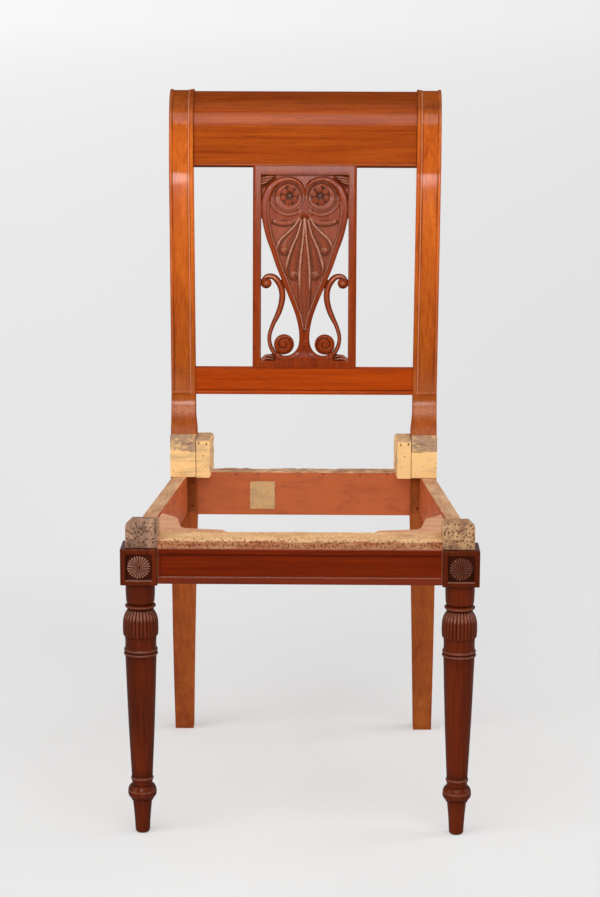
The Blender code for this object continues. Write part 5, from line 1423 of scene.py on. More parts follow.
def splat_relief(u, v, head):
    """Carving of the splat at each point: depth under the border, solidity (above 0 where the wood is cut
    through), and the shares of hollow, which is dirt and painted shade, and of pale ridge, which is rubbing
    and painted highlights. Every strap, scroll and leaf is a ridge round a drawn line, and the highest of
    them shows."""
    u = np.abs(u)
    panel = np.minimum(np.minimum(PANEL_HALF - u, v - SPLAT_FOOT_BORDER), head - v)
    strap, strap_way = from_line(STRAP_LINE, u, v)
    strap_half = knots(strap_way, STRAP_HALVES)
    scroll, scroll_way = from_line(SCROLL_LINE, u, v)
    scroll_half = knots(scroll_way, SCROLL_HALVES)
    volute = np.hypot(u - FOOT_VOLUTE_AT[0], v - FOOT_VOLUTE_AT[1])
    curl = np.hypot(u - SCROLL_VOLUTE_AT[0], v - SCROLL_VOLUTE_AT[1])
    rising = smooth_line(STRAP_LINE)
    rising = rising[(rising[:, 1] > 49) & (rising[:, 1] < 225)]
    rising = rising[np.concatenate([[True], np.diff(rising[:, 1]) > 0])]
    middle_line = np.interp(v, rising[:, 1], rising[:, 0])
    heart = np.where(v > HEART_FOOT, u - middle_line, 99.0)
    web = (v - knots(u, FOOT_WEB)) * 0.8
    solid = np.minimum.reduce([panel, strap - strap_half, scroll - scroll_half, volute - FOOT_VOLUTE,
                               curl - SCROLL_VOLUTE, heart, 213.0 - v, web])

    eye = np.hypot(u - EYE_AT[0], v - EYE_AT[1])
    in_heart = (v > HEART_FOOT) & (v < 242) & (u < np.where(v < 220, middle_line, 53.0))
    on_ground = in_heart & (strap > strap_half) & (v < 206)
    corners = np.maximum(smooth((u - 40) / 4) * smooth((v - 254) / 4),
                         smooth((u - 41) / 3) * smooth((24 - v) / 4))
    shelf = smooth((v - 203) / 4) * smooth((EYE_AT[1] + 10 - v) / 14) * (strap > strap_half)
    ground = np.full(u.shape, GROUND_DEPTH) + 0.9 * corners - 0.8 * shelf * (u < 50)
    between = (u < 10) & (v > 214) & (v < 256) & (eye > EYE)
    ground = np.where(between, 1.0, ground)
    flat_foot = 0.5 * smooth((v - SPLAT_FOOT_BORDER - 1) / 14)
    ground = np.where((web < 1.0) & (u < 40), np.minimum(ground, flat_foot), ground)
    # Darker in the panel's corners: painted shade. A faint pale over the heart's ground: painted sheen.
    carved = Carving(ground, 0.45 * corners, np.where(on_ground, 0.1, 0.0))
    for part in (eye_relief(u, v, eye), leaf_relief(u, v)):
        carved.rise(part.depth)
        carved.soil(part.dark)
        carved.rub_and_highlight(part.pale)

    # A second ring below the eye: a painted highlight on its crown and painted shade beyond it.
    below_eye = (v < EYE_AT[1] - 10) & (u > 6)
    second = np.where(below_eye, np.abs(eye - EYE - 5.2), FAR_BELOW)
    carved.rise(raised(second, 0.8, 1.0, 0.4))
    carved.rub_and_highlight(0.4 * near(second, 0.8))
    carved.soil(0.6 * near(np.where(below_eye, np.abs(eye - EYE - 6.8), FAR_BELOW), 0.7))

    lip, lip_way = from_line(LIP_LINE, u, v)
    lip_half = knots(lip_way, LIP_HALVES)
    lip_top = raised(lip, lip_half, 0.1, 1.3)
    on_lip = (lip_top < carved.depth) & (lip < lip_half)
    carved.rise(lip_top)
    # The lip is lighter on top and at its blunt end, with a painted shadow below it: painted highlights and
    # painted shadow.
    carved.dark = np.where(on_lip, 0.0, carved.dark)
    carved.pale = np.where(on_lip, 0.18, carved.pale)
    carved.rub_and_highlight(0.7 * near(np.hypot(u - 42.5, v - 208.6), 1.9))
    carved.soil(0.85 * (near(lip - lip_half - 0.8, 1.0) * smooth((212 - v) / 4)))
    carved.rise(raised(np.hypot(u / 1.5, v - KNOT_LEVEL), 3.4, 0.3, 1.0))

    strap_top = STRAP_DEPTH + 0.7 * np.clip(strap / strap_half, 0, 1) ** 6
    on_strap = strap < strap_half
    carved.rise(strap_top + CARVED_SLOPE * np.clip(strap - strap_half, 0, None))
    carved.dark = np.where(on_strap, carved.dark * 0.2, carved.dark)
    carved.pale = np.where(on_strap, 0.0, carved.pale)
    # A painted highlight along the bead inside the strap; painted shade in the groove beside it and along
    # the strap's outer foot.
    beaded = in_heart & (strap_way < 0.76)
    bead_off = np.where(beaded, np.abs(strap - (strap_half - 0.8)), FAR_BELOW)
    carved.rise(0.15 + 0.9 * np.clip(bead_off / 0.9, 0, None) ** 2)
    carved.rub_and_highlight(near(bead_off, 0.8) * 0.45)
    beside = near(np.where(beaded, np.abs(strap - (strap_half - 2.4)), FAR_BELOW), 0.6)
    carved.depth = carved.depth + 0.4 * beside
    carved.soil(0.4 * beside)
    carved.soil(0.5 * np.where(panel > 0, near(strap - strap_half - 0.7, 0.6), 0.0))

    carved.rise(raised(scroll, scroll_half, SCROLL_DEPTH, 1.5))
    on_stem = scroll < scroll_half
    # The stems are darker at their sides and lighter along their middles, most over the hooks: painted shade
    # and painted highlights.
    carved.soil(0.5 * smooth((scroll / scroll_half - 0.4) / 0.5) * on_stem)
    carved.rub_and_highlight(near(scroll, 1.1) * (0.18 + 0.55 * smooth((v - 122) / 6)) * on_stem)
    groove = spiral_groove(u, v, FOOT_VOLUTE_AT, SPIRAL_PITCH)
    disc = VOLUTE_DEPTH + 1.2 * groove + 0.9 * np.clip(volute / FOOT_VOLUTE, 0, 1) ** 6
    carved.rise(disc + CARVED_SLOPE * np.clip(volute - FOOT_VOLUTE, 0, None))
    # Painted shade in the spiral groove of the foot volute.
    carved.dark = np.where(volute < FOOT_VOLUTE, 0.6 * (groove * (volute < FOOT_VOLUTE - 1)), carved.dark)
    carved.rise(raised(curl, SCROLL_VOLUTE, SCROLL_DEPTH - 0.5, 2.0))
    # The scroll's volute: a painted highlight in its middle, painted shade on its lower half and a painted
    # shadow round it.
    carved.pale = np.where(curl < SCROLL_VOLUTE, 0.4 * near(curl, 2.2), carved.pale)
    carved.soil(0.7 * smooth((SCROLL_VOLUTE_AT[1] - 1 - v) / 6) * (curl < SCROLL_VOLUTE))
    carved.soil(0.75 * near(curl - SCROLL_VOLUTE - 0.4, 0.9) * on_stem * (v < 130))

    for leaf in HEAD_LEAVES + FOOT_LEAVES:
        away, way = from_line(leaf, u, v)
        half = knots(way, LEAF_HALVES)
        carved.rise(raised(away, half, 0.5, 0.8))
        # Each small leaf: lighter along its middle and darker towards its edges: painted highlight and
        # painted shade.
        carved.dark = np.where(away < half, carved.dark * 0.3, carved.dark)
        carved.rub_and_highlight(smooth((1.0 - away / half) / 0.8) * 0.4)
        carved.soil(0.6 * smooth((away / half - 0.5) / 0.4) * (away < half))

    lap = smooth((panel + 0.3) / 0.7)
    depth = carved.depth * lap + 0.12 * (1 - lap) * smooth(1 + panel / 1.2)
    # Darker in the deepest parts, along the piercings and in the quirk inside the border, and lighter along
    # the border's inner edge: painted shade and a painted highlight.
    crevice = smooth((depth - 2.55) / 0.9) * 0.6
    pierced = 0.5 * smooth(1 + solid / 1.2)
    quirk = 0.65 * near(panel - 0.9, 0.7) * np.where((v < SPLAT_FOOT_BORDER + 4) & (u < 42), 0.0, 1.0)
    hollow = np.maximum.reduce([1.2 * carved.dark * lap, crevice * lap, pierced, quirk])
    edge = 0.28 * near(panel + 0.8, 0.6) * (v > SPLAT_FOOT_BORDER + 4)
    return depth, solid, np.clip(hollow, 0, 1), np.maximum(carved.pale * lap, edge)


def splat(shape, sizes):
    """Adds the splat: a fine grid over the panel with the carving as its depth. Points that lie close to a
    piercing are drawn on to its edge, faces inside the piercings are left out, the back is the same grid
    laid flat, and walls join the two along every open edge."""
    low_y, low_z = behind(LOWER_RAIL_TOP_MARK, 0.0)
    high_y, high_z = behind(CREST_MARK, CREST_SETBACK)
    rake = np.array([math.sin(BACK_RAKE), math.cos(BACK_RAKE)])
    height = 1000 * float((high_y - low_y) * rake[0] + (high_z - low_z) * rake[1])
    head = height - SPLAT_HEAD_BORDER
    step = sizes.carving_step
    border = np.array([SPLAT_HALF, SPLAT_HALF - 0.6, SPLAT_HALF - 4, PANEL_HALF + 4, PANEL_HALF + 1.8,
                       PANEL_HALF + 0.8])
    columns = np.linspace(-PANEL_HALF, PANEL_HALF, 2 * int(PANEL_HALF / step) + 1)
    rows = np.linspace(SPLAT_FOOT_BORDER, head, int((head - SPLAT_FOOT_BORDER) / step) + 1)
    across = np.concatenate([-border, columns, border[::-1]])
    up = np.concatenate([[-SPLAT_HOUSED, 0.0, 5.0, SPLAT_FOOT_BORDER - 1.8, SPLAT_FOOT_BORDER - 0.8], rows,
                         [head + 0.8, head + 1.8, head + 6.0, height - 0.6, height + 0.2]])
    u, v = np.meshgrid(across, up)
    _, solid, _, _ = splat_relief(u, v, head)
    gradient_v, gradient_u = np.gradient(solid, up, across)
    steepness = np.maximum(gradient_u ** 2 + gradient_v ** 2, 0.2)
    inside = (np.abs(u) < PANEL_HALF - 0.2) & (v > SPLAT_FOOT_BORDER + 0.2) & (v < head - 0.2)
    close = inside & (np.abs(solid) < 0.6 * step)
    moved_u = np.clip(u - solid * gradient_u / steepness, -PANEL_HALF, PANEL_HALF)
    moved_v = np.clip(v - solid * gradient_v / steepness, SPLAT_FOOT_BORDER, head)
    u = np.where(close, moved_u, u)
    v = np.where(close, moved_v, v)
    depth, _, hollow, ridge = splat_relief(u, v, head)
    kept = close | (solid <= 0)
    edge_round = 0.5 * smooth((np.abs(u) - (SPLAT_HALF - 0.5)) / 0.5)
    depth = depth + edge_round

    quads = grid_faces(*u.shape)
    standing = kept.ravel()[quads]
    whole = quads[standing.sum(1) == 4]
    partial = quads[standing.sum(1) == 3]
    missing = np.argmin(kept.ravel()[partial], axis=1)
    order = (missing[:, None] + np.array([1, 2, 3])) % 4
    three = np.take_along_axis(partial, order, axis=1)
    used = np.unique(np.concatenate([whole.ravel(), three.ravel()]))
    number = np.full(u.size, -1)
    number[used] = np.arange(len(used))
    whole = number[whole]
    three = number[three]
    total = len(used)
    walls = edge_walls((whole, three), total)

    u, v, depth = (values.ravel()[used] / 1000 for values in (u, v, depth))
    base_y, base_z = behind(LOWER_RAIL_TOP_MARK, SPLAT_SETBACK)
    sheets = []
    for deep in (depth, np.full(total, SPLAT_THICK / 1000)):
        y = base_y + v * rake[0] + deep * rake[1]
        z = base_z + v * rake[1] - deep * rake[0]
        sheets.append(np.stack([u, y, z], -1))
    flat = np.zeros(total)
    shape.add(np.concatenate(sheets), [whole, three, whole[:, ::-1] + total, three[:, ::-1] + total, walls],
              np.concatenate([hollow.ravel()[used], flat]), np.concatenate([ridge.ravel()[used], flat]))


# Seat

def front_rail(shape, sizes):
    """Adds the front rail: an outline with a sunk panel between two fillets and a bevelled tacking edge,
    carried across between the legs. The panel stops short of each end; tack holes go in along the bevel."""
    fillet = SEAT_RAIL_BOTTOM + FRONT_FOOT_FILLET
    panel_top = fillet + FRONT_PANEL
    brow = panel_top + FRONT_HEAD_FILLET
    top = brow + FRONT_BEVEL
    sunk = FRONT_RAIL_FACE + FRONT_PANEL_DEPTH
    corners = [(FRONT_RAIL_FACE, SEAT_RAIL_BOTTOM), (FRONT_RAIL_FACE, fillet), (sunk, fillet + 0.0005),
               (sunk, panel_top - 0.0005), (FRONT_RAIL_FACE, panel_top), (FRONT_RAIL_FACE, brow),
               (FRONT_RAIL_FACE + FRONT_BEVEL, top), (FRONT_RAIL_BACK, top + FRONT_TOP_RISE),
               (FRONT_RAIL_BACK, SEAT_RAIL_BOTTOM)]
    outline = eased_outline(corners, 0.0006, 0.0011)
    _, run = outward(outline)
    end = LEG_INNER - SEAM
    stations = np.unique(np.concatenate([np.linspace(-end, end, 460), end - np.arange(0, 0.006, 0.0005),
                                         np.arange(0, 0.006, 0.0005) - end]))
    first, second = outline.T
    in_panel = (first < sunk + 1e-4) & (second > fillet - 1e-4) & (second < panel_top + 1e-4)
    from_end = end - np.abs(stations)
    shown = smooth((from_end - FRONT_PANEL_END) / 0.0008)[:, None]
    tacked = (second > brow + 0.0004) & (first < FRONT_RAIL_BACK - 1e-4)
    start = run[np.argmax(tacked)]
    along = stations[:, None] + np.zeros(len(outline))
    across = run[None, :] - start + np.zeros(along.shape)
    holes = tack_rows(-end, end, sizes.tack_spacing, (21, 0.001, 0.006, 0.42), (22, 0.004, 0.012, 0.36),
                      (27, 0.008, 0.016, 0.5), (23, 0.015, 0.024, 1.0))
    pit = 0.85 * pits(along, across, holes, sizes.tack_radius * 0.9) * tacked
    torn = np.clip(soft_noise(along * 260, across * 420, 24), 0, 1) * 0.0007
    uneven = soft_noise(along * 60, across * 120, 25) * 0.0003
    inside = (sizes.tack_depth * pit + torn + uneven) * tacked
    lifted = -(first - FRONT_RAIL_FACE) * in_panel * (1 - shown)
    normal, _ = outward(outline)
    y = first - normal[:, 0] * inside + lifted
    z = second - normal[:, 1] * inside
    points = np.stack([along, FRONT + y, z], -1)
    lower_band = 1 - smooth((across - 0.0095 + 0.0012 * soft_noise(along * 90, across * 0, 28)) / 0.0025)
    grubby = lower_band * 0.6 + 0.12 * soft_noise(along * 45, across * 110, 26) + 0.05
    # Painted shade in the corners of the sunk panel and under the brow; painted highlights along the sill
    # and the brow's edge. The rail is also lighter near its ends and on its lower fillet.
    edge = smooth((first - FRONT_RAIL_FACE) / FRONT_PANEL_DEPTH) * in_panel
    nook = edge * np.maximum(smooth(1 - (second - fillet) / 0.002), smooth(1 - (panel_top - second) / 0.003))
    in_front = first < FRONT_RAIL_BACK - 0.001
    under_brow = smooth(1 - np.abs(second - panel_top + 0.0006) / 0.0016) * in_front
    hollow = np.where(tacked, pit, np.maximum(nook * 0.6, under_brow * 0.75))
    sill = smooth(1 - np.abs(second - fillet) / 0.0009) * 0.3 * in_front
    brow_edge = smooth(1 - np.abs(second - brow) / 0.0011) * 0.32 * in_front
    joint = smooth(1 - (end - np.abs(along)) / 0.0012) * 0.4
    sill = np.maximum(sill, 0.04 * (second < fillet) * in_front)
    rubbed_and_lit = np.maximum(np.maximum(sill, brow_edge) + np.zeros(along.shape), joint)
    shape.tube(points, hollow, np.where(tacked, np.clip(grubby, 0, 1), rubbed_and_lit))
    return tacked


def split_by(piece, material, chosen):
    """Gives the faces whose points are all chosen a second material."""
    mesh = piece.data
    mesh.materials.append(material)
    starts = np.empty(len(mesh.polygons), int)
    mesh.polygons.foreach_get("loop_start", starts)
    totals = np.empty(len(mesh.polygons), int)
    mesh.polygons.foreach_get("loop_total", totals)
    corners = np.empty(len(mesh.loops), int)
    mesh.loops.foreach_get("vertex_index", corners)
    all_chosen = np.minimum.reduceat(chosen[corners].astype(int), starts)
    mesh.polygons.foreach_set("material_index", all_chosen * (totals == 4))


def side_rail(shape, side, sizes):
    """Adds a side rail: an outline bevelled on its outer top edge, carried back along the taper of the seat,
    with tack holes and torn fibres along its top."""
    corners = [(0, SEAT_RAIL_BOTTOM), (0, SIDE_RAIL_TOP - SIDE_RAIL_BEVEL), (SIDE_RAIL_BEVEL, SIDE_RAIL_TOP),
               (SIDE_RAIL_THICK, SIDE_RAIL_TOP), (SIDE_RAIL_THICK, SEAT_RAIL_BOTTOM)]
    outline = eased_outline(corners, 0.0009, 0.0012)
    _, run = outward(outline)
    first, second = outline.T
    stations = np.linspace(LEG_BLOCK + SEAM, SEAT_DEPTH - SEAM, 330)
    tacked = (second > SIDE_RAIL_TOP - SIDE_RAIL_BEVEL + 0.0003) & (first < SIDE_RAIL_THICK - 0.0006)
    start = run[np.argmax(tacked)]
    along = stations[:, None] + np.zeros(len(outline))
    across = run[None, :] - start + np.zeros(along.shape)
    seed = 41 if side < 0 else 51
    holes = tack_rows(LEG_BLOCK, SEAT_DEPTH, sizes.tack_spacing, (seed, 0.001, 0.008, 0.7),
                      (seed + 1, 0.008, 0.020, 0.9))
    pit = 0.85 * pits(along, across, holes, sizes.tack_radius * 0.9) * tacked
    torn = np.clip(soft_noise(along * 220, across * 420, seed + 2), 0, 1) * 0.0008
    inside = (sizes.tack_depth * pit + torn) * tacked
    points = carried(outline, inside, lambda inset, z, depth: (
        side * (side_rail_outer(depth) - inset), FRONT + depth, z), stations)
    grubby = np.clip(0.3 + 0.25 * soft_noise(along * 45, across * 110, seed + 3), 0, 1)
    shape.tube(points, pit, np.where(tacked, grubby, 0.15))
    return tacked


def back_rail(shape, sizes):
    """Adds the back rail: an eased rectangle carried across between the stiles, its top edge worn uneven."""
    rear = BACK_RAIL_FRONT + BACK_RAIL_THICK
    corners = [(BACK_RAIL_FRONT, BACK_RAIL_BOTTOM), (BACK_RAIL_FRONT, BACK_RAIL_TOP), (rear, BACK_RAIL_TOP),
               (rear, BACK_RAIL_BOTTOM)]
    outline = eased_outline(corners, 0.0016, 0.0016)
    first, second = outline.T
    share = np.linspace(-1, 1, 260)
    top = second > BACK_RAIL_TOP - 0.0013
    _, run = outward(outline)
    end = float(inner_half(SEAT_RAIL_BOTTOM)) - SEAM
    along = share[:, None] * end + np.zeros(len(outline))
    across = run[None, :] + np.zeros(along.shape)
    start = run[np.argmax(top)]
    holes = tack_rows(-end, end, sizes.tack_spacing, (61, start + 0.002, start + 0.02, 0.8),
                      (62, start - 0.006, start, 3.0))
    pit = pits(along, across, holes, sizes.tack_radius)
    frayed = np.clip(soft_noise(along * 110, across * 160, 63), -0.2, 1) * 0.0011 * top
    inside = sizes.tack_depth * pit + frayed
    points = carried(outline, inside, lambda y, z, x: (x, FRONT + y, z), share * end)
    dirty = np.clip(0.7 + 0.5 * soft_noise(along * 120, across * 200, 64), 0, 1)
    shape.tube(points, pit, np.where(top, dirty, 0.0))
    return top & (first < rear - 0.0004)


def face_block(shape, side, sizes):
    """Adds the facing in front of a stile: its side outline, hollowed behind to the sweep of the stile,
    carried across the width of the stile, with tack holes and a soiled upper part in front."""
    low = SIDE_RAIL_TOP + SEAM
    high = low + FACE_BLOCK_HEIGHT
    marks = np.linspace(LEG_MARK, LOWER_RAIL_MARK, 600)
    y, z, _ = stile_front(marks)
    levels = np.linspace(low, high, 12)
    sweep = np.interp(levels, z, y) - FRONT - SEAM
    corners = [(BLOCK_FRONT, low), (BLOCK_FRONT, high), *zip(sweep[::-1], levels[::-1])]
    outline = eased_outline(corners, 0.0009, 0.0009)
    first, second = outline.T
    share = np.linspace(0, 1, 64)
    in_front = first < BLOCK_FRONT + 0.0006
    along = share[:, None] * SEAT_POST_WIDTH + np.zeros(len(outline))
    up = second[None, :] - low + np.zeros(along.shape)
    seed = 71 if side < 0 else 81
    reach = SEAT_POST_WIDTH - 0.003
    holes = tack_rows(0.003, reach, sizes.tack_spacing, (seed, 0.048, 0.055, 0.9),
                      (seed + 1, FACE_BLOCK_BAND, 0.048, 0.9), (seed + 2, 0.008, 0.034, 1.1))
    pit = pits(along, up, holes, sizes.tack_radius * 0.75) * in_front
    wander = 0.0009 * soft_noise(along * 160, up * 0, seed + 4)
    upper = smooth((up - FACE_BLOCK_BAND + wander) / 0.0012)
    rough = np.clip(soft_noise(along * 240, up * 620, seed + 3), -0.3, 1)
    worn = (0.0005 * upper * rough + 0.0003 * upper + 0.00015 * rough) * in_front
    crack = near(up - FACE_BLOCK_BAND + wander, 0.0006) * smooth((0.021 - along) / 0.006) * in_front
    higher = near(up - 0.0478 - wander, 0.0006) * (along > 0.004) * (along < 0.02) * in_front
    crack = np.maximum(crack, higher)
    seam = smooth((0.0011 - along) / 0.0008) * (0.75 + 0.25 * soft_noise(along * 0, up * 380, seed + 6))
    seam = seam * in_front
    pit = np.maximum.reduce([pit, 0.7 * crack, 0.85 * seam])
    inside = sizes.tack_depth * 0.7 * pit + worn
    points = carried(outline, inside, lambda depth, z, s: (
        side * (inner_half(z) + s * (outer_half(z) - inner_half(z))), FRONT + depth, z), share)
    fouled = upper * (0.8 + 0.45 * soft_noise(along * 300, up * 420, seed + 5))
    shape.tube(points, np.clip(pit, 0, 1), np.clip(fouled, 0, 1))


def inner_block(shape, side, sizes):
    """Adds the block beside a stile: a section with one round top corner carried back, widening a little;
    its rear part is shorter, where it stands on the back rail. Its front is closed by shrinking rings, with
    slots and a hole cut into them."""
    low = SIDE_RAIL_TOP - INNER_BLOCK_DROP
    high = low + INNER_BLOCK_HEIGHT
    outer = float(inner_half(SEAT_RAIL_BOTTOM)) - SEAM
    step = BACK_RAIL_FRONT - SEAM - BLOCK_FRONT
    deep = np.concatenate([[0.0, 0.0004], np.linspace(0.001, step, 14),
                           np.linspace(step + 0.0002, INNER_BLOCK_DEPTH, 16)])
    foot = np.where(deep <= step, low, BACK_RAIL_TOP + SEAM)
    width = INNER_BLOCK_WIDTH + INNER_BLOCK_WIDEN * deep / INNER_BLOCK_DEPTH
    section = Section((22, 50, 14, 50), (0.0012, 0.0008, 0.0012, 0.0045))
    across = section.across(width)
    down = section.deep(high - foot)
    seed = 91 if side < 0 else 97
    inner = section.side == 3
    hollow = np.zeros_like(across)
    depth = deep[:, None] + np.zeros_like(across)
    holes = scattered(seed, 0.004, INNER_BLOCK_DEPTH, 0.006, 0.050, 0.008)
    hollow[:, inner] = pits(depth[:, inner], down[:, inner], holes, sizes.tack_radius)
    across[:, inner] += sizes.tack_depth * hollow[:, inner]
    uneven = 0.0004 * soft_noise(depth * 90, down * 120, seed + 1)
    ease = 0.0007 * (1 - smooth(deep / 0.001))[:, None]
    points = np.stack([side * (outer - width[:, None] + across + uneven * (section.side == 3)),
                       FRONT + BLOCK_FRONT + depth, high - down - ease * (section.side == 0)], -1)
    patches = soft_noise(depth * 160, down * 160 + across * 160, seed + 2)
    soil = smooth((0.0035 - down) / 0.002) * (0.75 + 0.4 * patches)
    soil = np.maximum(soil, (section.side == 3) * (0.4 + 0.3 * patches))
    first = points[0]
    middle = first.mean(0)
    rings = middle + (first - middle) * np.linspace(0.03, 0.985, 34)[:, None, None]
    right = np.abs(rings[..., 0]) - outer + width[0]
    below = high - rings[..., 2]
    slots = np.array([(0.24, 0.0070, 1.3), (0.26, 0.0084, 1.3), (0.80, 0.0058, 1.3), (0.82, 0.0074, 1.4),
                      (0.52, 0.0245, 1.0), (0.30, 0.0400, 0.8)])
    slots[:, 0] *= width[0]
    slot = pits(right, below, slots, sizes.tack_radius)
    rings[..., 1] += sizes.tack_depth * slot
    grey = smooth((0.0045 - below) / 0.002) * 0.8
    points = np.concatenate([rings, points])
    shape.tube(points, np.concatenate([slot, hollow]), np.clip(np.concatenate([grey, soil]), 0, 1))


def corner_brace(shape, side):
    """Adds a corner brace: its plan, two arms with slanted ends that meet in an eased inner corner, carried
    up with eased edges. The corner is a curve that leaves one arm and joins the other by the square of the
    share."""
    front = FRONT_RAIL_BACK + SEAM
    leg_side = LEG_INNER - SEAM
    leg_back = LEG_BLOCK + SEAM
    rear = FRONT_RAIL_BACK + BRACE_SIDE_REACH

    def against_rail(depth):
        return side_rail_outer(depth) - SIDE_RAIL_THICK - 2 * SEAM

    toe = LEG_INNER - BRACE_FRONT_REACH
    shoulder = rear - BRACE_SIDE_SLANT
    start = np.array([against_rail(shoulder) - BRACE_ARM, shoulder])
    end = np.array([toe + BRACE_FRONT_SLANT, front + BRACE_DEPTH])
    corner = np.array([start[0] - BRACE_WEB, end[1] + BRACE_WEB])
    share = np.linspace(0, 1, 9)[:, None]
    to_start = (start - corner) / np.linalg.norm(start - corner) * BRACE_EASING
    to_end = (end - corner) / np.linalg.norm(end - corner) * BRACE_EASING
    eased = corner + to_start * (1 - share) ** 2 + to_end * share ** 2
    inner = np.concatenate([[(against_rail(rear), rear)], [start], eased, [end], [(toe, front)]])
    outer = np.array([(against_rail(rear), rear), (against_rail(leg_back), leg_back), (leg_side, leg_back),
                      (leg_side, front), (toe, front)])
    inner_turns = np.concatenate([[0.0, 0.22], np.linspace(0.45, 0.55, 9), [0.78, 1.0]])
    way = np.linspace(0, 1, 61)
    outer_turns = (0.0, 0.42, 0.5, 0.56, 1.0)
    inner, outer = (np.stack([np.interp(way, turns, column) for column in line.T], 1)
                    for line, turns in ((inner, inner_turns), (outer, outer_turns)))
    outline = np.concatenate([inner, outer[-2:0:-1]])
    high = SIDE_RAIL_TOP - BRACE_BELOW_TOP
    low = high - BRACE_HEIGHT
    ease = np.array([0.0, 0.0003, 0.0009])
    level = np.concatenate([low + ease, np.linspace(low + 0.002, high - 0.002, 12), high - ease[::-1]])
    near_end = np.minimum(level - high + BRACE_HEIGHT, high - level)
    inset = 0.0009 * (1 - smooth(near_end / 0.0009))
    along = level[:, None] * 40 + outline[None, :, 1] * 300
    wavy = 0.0003 * soft_noise(outline[None, :, 0] * 300, along, 101)
    inside = inset[:, None] + wavy * (near_end[:, None] > 0.001)
    points = carried(outline, inside, lambda x, depth, z: (side * x, FRONT + depth, z), level)
    shape.tube(points, 0.0, 0.1, strip_ends=True)


PEG_NODES = [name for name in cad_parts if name.startswith("peg_")]


def joint_pegs(shape):
    """Adds the shown end of every joint peg: a low dome swung round the peg's axis at its mouth. The dome's
    height falls by the square of the distance from the axis."""
    radius = PEG_RADIUS * np.array([1.0, 1.0, 0.9, 0.6, 0.3, 0.04])
    rise = 0.0005 * (1 - (radius / PEG_RADIUS) ** 2)
    rise[0] = -0.003
    rise[1] = -0.0001
    turn = np.arange(PEG_STEPS) * 2 * np.pi / PEG_STEPS
    for name in PEG_NODES:
        mouth, direction = peg_mouth(name)
        axis = np.array(direction)
        first = np.cross(axis, (0.3, 0.5, 0.8))
        first = first / np.linalg.norm(first)
        second = np.cross(axis, first)
        ring = np.cos(turn)[:, None] * first + np.sin(turn)[:, None] * second
        points = np.array(mouth) + radius[:, None, None] * ring - rise[:, None, None] * axis
        shape.tube(points)


def peg_mouth(name):
    """(place, direction inwards) of a peg, read off its working part: pegs of the side rails lie across the
    chair, the others run forward from the back of a stile or leg."""
    low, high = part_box(name)
    middle = (low + high) / 2
    side = -1 if middle.x < 0 else 1
    if name.startswith("peg_side_rail_rear"):
        return Vector((side * REAR_WIDTH / 2, middle.y, middle.z)), (-side, 0.0, 0.0)
    if name.startswith("peg_side_rail_front"):
        return Vector((side * LEG_INNER, middle.y, middle.z)), (side, 0.0, 0.0)
    if name.startswith(("peg_back_rail", "peg_front_rail")):
        return Vector((middle.x, high.y, middle.z)), (0.0, -1.0, 0.0)
    marks = np.linspace(CONSOLE_MARK, ROLL_MARK, 4000)
    y, z = behind(marks, BACK_POST_DEPTH)
    tilt = stile_front(marks)[2]
    axis_y = np.array(middle.y) - y
    axis_z = np.array(middle.z) - z
    off = np.abs(axis_y * np.sin(tilt) + axis_z * np.cos(tilt))
    off = off + 10 * (np.hypot(axis_y, axis_z) > 0.03)
    best = int(np.argmin(off))
    return (Vector((middle.x, float(y[best]), float(z[best]))),
            (0.0, -math.cos(tilt[best]), math.sin(tilt[best])))


def paper_label(shape, sizes):
    """Adds a blank paper label on the inside of the back rail: a thin closed sheet with uneven edges that
    lifts a little at its corners."""
    share = np.linspace(-0.5, 0.5, LABEL_STEPS)
    u, v = np.meshgrid(share, share)
    rag_u = 0.0006 * soft_noise(v * 18, u * 3 + 5, 111) * np.abs(u) * 2
    rag_v = 0.0006 * soft_noise(u * 18, v * 3 + 9, 112) * np.abs(v) * 2
    x = LABEL_AT[0] + u * sizes.label_width + rag_u
    z = LABEL_AT[1] + v * sizes.label_height + rag_v
    lift = 0.0004 + 0.0016 * np.clip(np.abs(u) + np.abs(v) - 0.7, 0, 1)
    lift = lift + 0.0002 * soft_noise(u * 6, v * 6, 113)
    rear = FRONT + BACK_RAIL_FRONT
    sheets = np.concatenate([np.stack([x, rear - lift - 0.0002, z], -1).reshape(-1, 3),
                             np.stack([x, rear - lift + 0.0001, z], -1).reshape(-1, 3)])
    faces = grid_faces(LABEL_STEPS, LABEL_STEPS)
    total = LABEL_STEPS ** 2
    shape.add(sheets, [faces, faces[:, ::-1] + total, edge_walls((faces,), total)])


# Operators

def make_piece(name, make, material, nodes, slot, *values, crease=CREASE, strip=None):
    """Builds one piece with a function that adds its shape; points that it marks get the strip's look."""
    shape = Shape()
    marked = make(shape, *values)
    piece = shape.build(name, material, nodes, crease)
    if strip:
        split_by(piece, strip, np.tile(marked, shape.count // len(marked)))


class CHAIR_OT_front_legs(bpy.types.Operator):
    """Build the turned, reeded front legs with their carved blocks and bare tops"""

    bl_idname = "chair.front_legs"
    bl_label = "Front legs"

    def execute(self, context):
        sizes = context.scene.chair_sizes
        finish = context.scene.chair_finish
        dark = polished("leg_polish", "leg", finish, polish=0.12, shine=0.01, blur=0.1, slant_shade=0.75)
        tops = {"left": bare("leg_top_timber_left", "upper", finish, speckle=0.6),
                "right": bare("leg_top_timber_right", "bleached", finish, shift=(0.2, 0.0, 0.0),
                              speckle=0.4)}
        for hand, side in SIDES.items():
            node = f"front_leg_{hand}"
            for part, make, material in (("turning", turned_leg, dark), ("block", leg_block, dark),
                                         ("top", upper_block, tops[hand])):
                make_piece(f"{node}_{part}", make, material, [node], "leg_wood", side, sizes)
        return {"FINISHED"}


